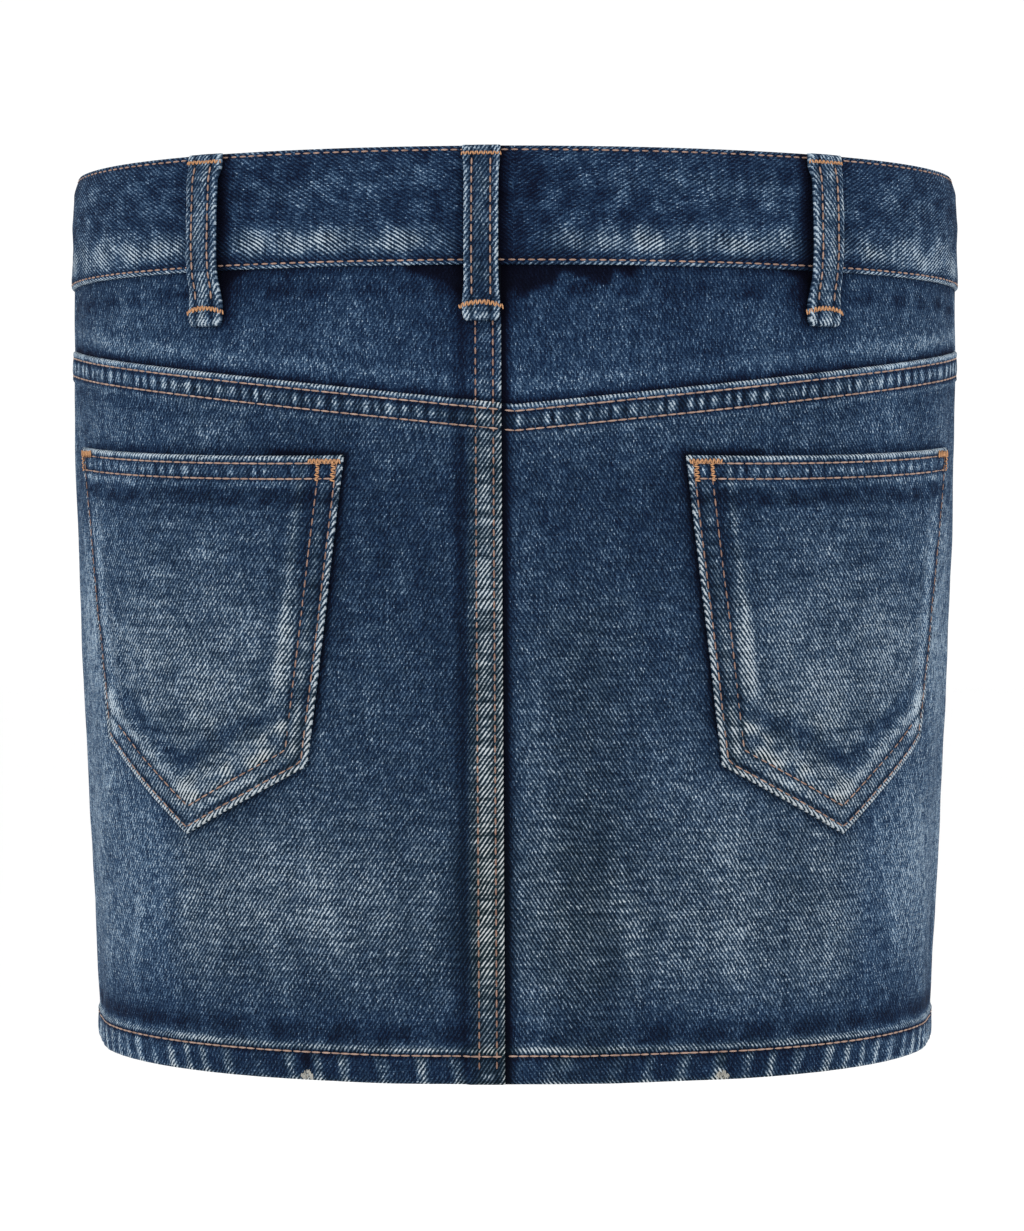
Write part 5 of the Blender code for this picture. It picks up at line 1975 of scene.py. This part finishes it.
BUTTON_FOOT = BAND_RISE - BAND_TUCK + 0.0003
BUTTON_UNDER = BAND_RISE + 0.0004
BUTTON_PROFILE = [(0.0, BUTTON_FOOT), (0.0032, BUTTON_FOOT)] + [
    (radius, BUTTON_UNDER + out)
    for radius, out in (
        (0.0032, 0.0),
        (0.0078, 0.0),
        (0.0083, 0.0002),
        (0.0085, 0.0006),
        (0.0084, 0.0012),
        (0.0080, 0.0017),
        (0.0074, 0.0020),
        (0.0062, 0.0021),
        (0.0057, 0.0019),
        (0.0052, 0.0016),
        (0.0030, 0.0019),
        (0.0, 0.0021),
    )
]


def improve_hardware():
    """The slider keeps its solid with a better finish; the button is turned again, more finely."""
    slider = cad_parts["zip_slider"]
    slider.data.materials.clear()
    slider.data.materials.append(BRASS)
    place = seat(band_end(BAND_HEIGHT / 2) - EYE_FROM_END, BAND_HEIGHT / 2)
    shape = bmesh.new()
    points = [shape.verts.new((radius, out, 0.0)) for radius, out in BUTTON_PROFILE]
    edges = [shape.edges.new(pair) for pair in zip(points, points[1:])]
    bmesh.ops.spin(
        shape,
        geom=points + edges,
        cent=(0, 0, 0),
        axis=(0, 1, 0),
        angle=2 * math.pi,
        steps=72,
        use_merge=True,
    )
    bmesh.ops.remove_doubles(shape, verts=shape.verts, dist=1e-6)
    bmesh.ops.recalc_face_normals(shape, faces=shape.faces[:])
    bmesh.ops.transform(shape, matrix=place, verts=shape.verts)
    button = add_trim("shank_button", shape, BRASS)
    button.data.set_sharp_from_angle(angle=math.radians(40))
    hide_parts("button")


def sew_buttonhole():
    """Close threads round the keyhole buttonhole, which shows past the button."""
    shape = bmesh.new()
    down = BAND_HEIGHT / 2
    eye = band_end(down) - EYE_FROM_END
    tail = eye - 0.0165
    for edge in (-0.0014, 0.0014):
        bar = (eye - 0.004, down + edge), (tail, down + edge)
        satin(shape, *bar, 0.0022, BAND_RISE - 0.0003, seed=99)
    satin(shape, (tail, down - 0.0024), (tail, down + 0.0024), 0.0018, BAND_RISE - 0.0002, seed=100)
    reach = np.array([0.0042, 0.0064])  # each thread's two ends, from the eye's middle
    for angle in np.linspace(0.35, 2 * math.pi - 0.35, 34):
        places = eye - reach * math.cos(angle + math.pi), down - reach * math.sin(angle)
        points, normals = skin(*places, BAND_RISE, with_normals=True)
        add_strand(shape, *points, normals[0], TACK_THREAD_RADIUS)
    add_trim("buttonhole_sewing", shape, THREAD)


# --- Stage ----------------------------------------------------------------------------------------


FLOOR_HALF = 14.0
FLOOR_HEIGHT = -0.80
SKY_STRENGTH = 1.05
SKIRT_MIDDLE = Vector((0, 0, -0.17))
LIGHTS = (
    # name, place, size, power
    ("key_left", (1.15, 1.75, 0.75), 0.9, 8.0),
    ("key_right", (-1.15, 1.75, 0.75), 0.9, 6.0),
    ("front_fill", (0.3, -2.0, 0.8), 1.6, 12.0),
)
CAMERA_PLACE = (0.0, 1.18, -0.1539)
CAMERA_SHIFT = (-0.0024, -0.0443)


def set_stage():
    shape = bmesh.new()
    bmesh.ops.create_grid(shape, x_segments=1, y_segments=1, size=FLOOR_HALF)
    bmesh.ops.translate(shape, vec=(0, 0, FLOOR_HEIGHT), verts=shape.verts)
    floor = new_piece("floor", shape)
    paint = Finish("pale_floor", 0.9)
    grey = paint.noise(paint.place(), 3.0)
    colour = paint.ramp(grey, ((0.3, (0.95, 0.95, 0.95, 1)), (0.7, (0.96, 0.96, 0.96, 1))))
    paint.feed(paint.shader.inputs["Base Color"], colour)
    floor.data.materials.append(paint.material)

    world = bpy.data.worlds.new("studio")
    world.use_nodes = True
    sky = world.node_tree.nodes["Background"].inputs
    sky["Color"].default_value = (1.0, 1.0, 1.0, 1.0)
    sky["Strength"].default_value = SKY_STRENGTH
    bpy.context.scene.world = world
    for name, place, size, power in LIGHTS:
        lamp = bpy.data.lights.new(name, "AREA")
        lamp.shape = "SQUARE"
        lamp.size = size
        lamp.energy = power
        light = bpy.data.objects.new(name, lamp)
        light.location = place
        light.rotation_euler = (SKIRT_MIDDLE - Vector(place)).to_track_quat("-Z", "Y").to_euler()
        bpy.context.scene.collection.objects.link(light)


def set_camera():
    """An 85 mm view of the back, level, from a little above the skirt's middle."""
    camera = bpy.data.cameras.new("camera")
    camera.lens = 85.0
    camera.sensor_fit = "VERTICAL"
    camera.sensor_height = 36.0
    camera.shift_x, camera.shift_y = CAMERA_SHIFT
    viewer = bpy.data.objects.new("camera", camera)
    viewer.location = CAMERA_PLACE
    viewer.rotation_euler = (math.radians(90), 0.0, math.radians(180))
    bpy.context.scene.collection.objects.link(viewer)
    bpy.context.scene.camera = viewer
    bpy.context.scene.view_settings.view_transform = "Standard"


# --- The skirt ------------------------------------------------------------------------------------

set_camera()
set_stage()
make_waistband()
for word, side in SIDES:
    make_yoke(word, side)
    make_back(word, side)
    make_front(word, side)
    make_pocket(word, side)
    make_tape(word, side)
for loop in LOOPS:
    make_loop(loop)
sew_waistband()
sew_backs()
fray_nicks()
sew_fronts()
sew_pockets()
sew_loops()
sew_pocket_tacks()
make_teeth()
improve_hardware()
sew_buttonhole()
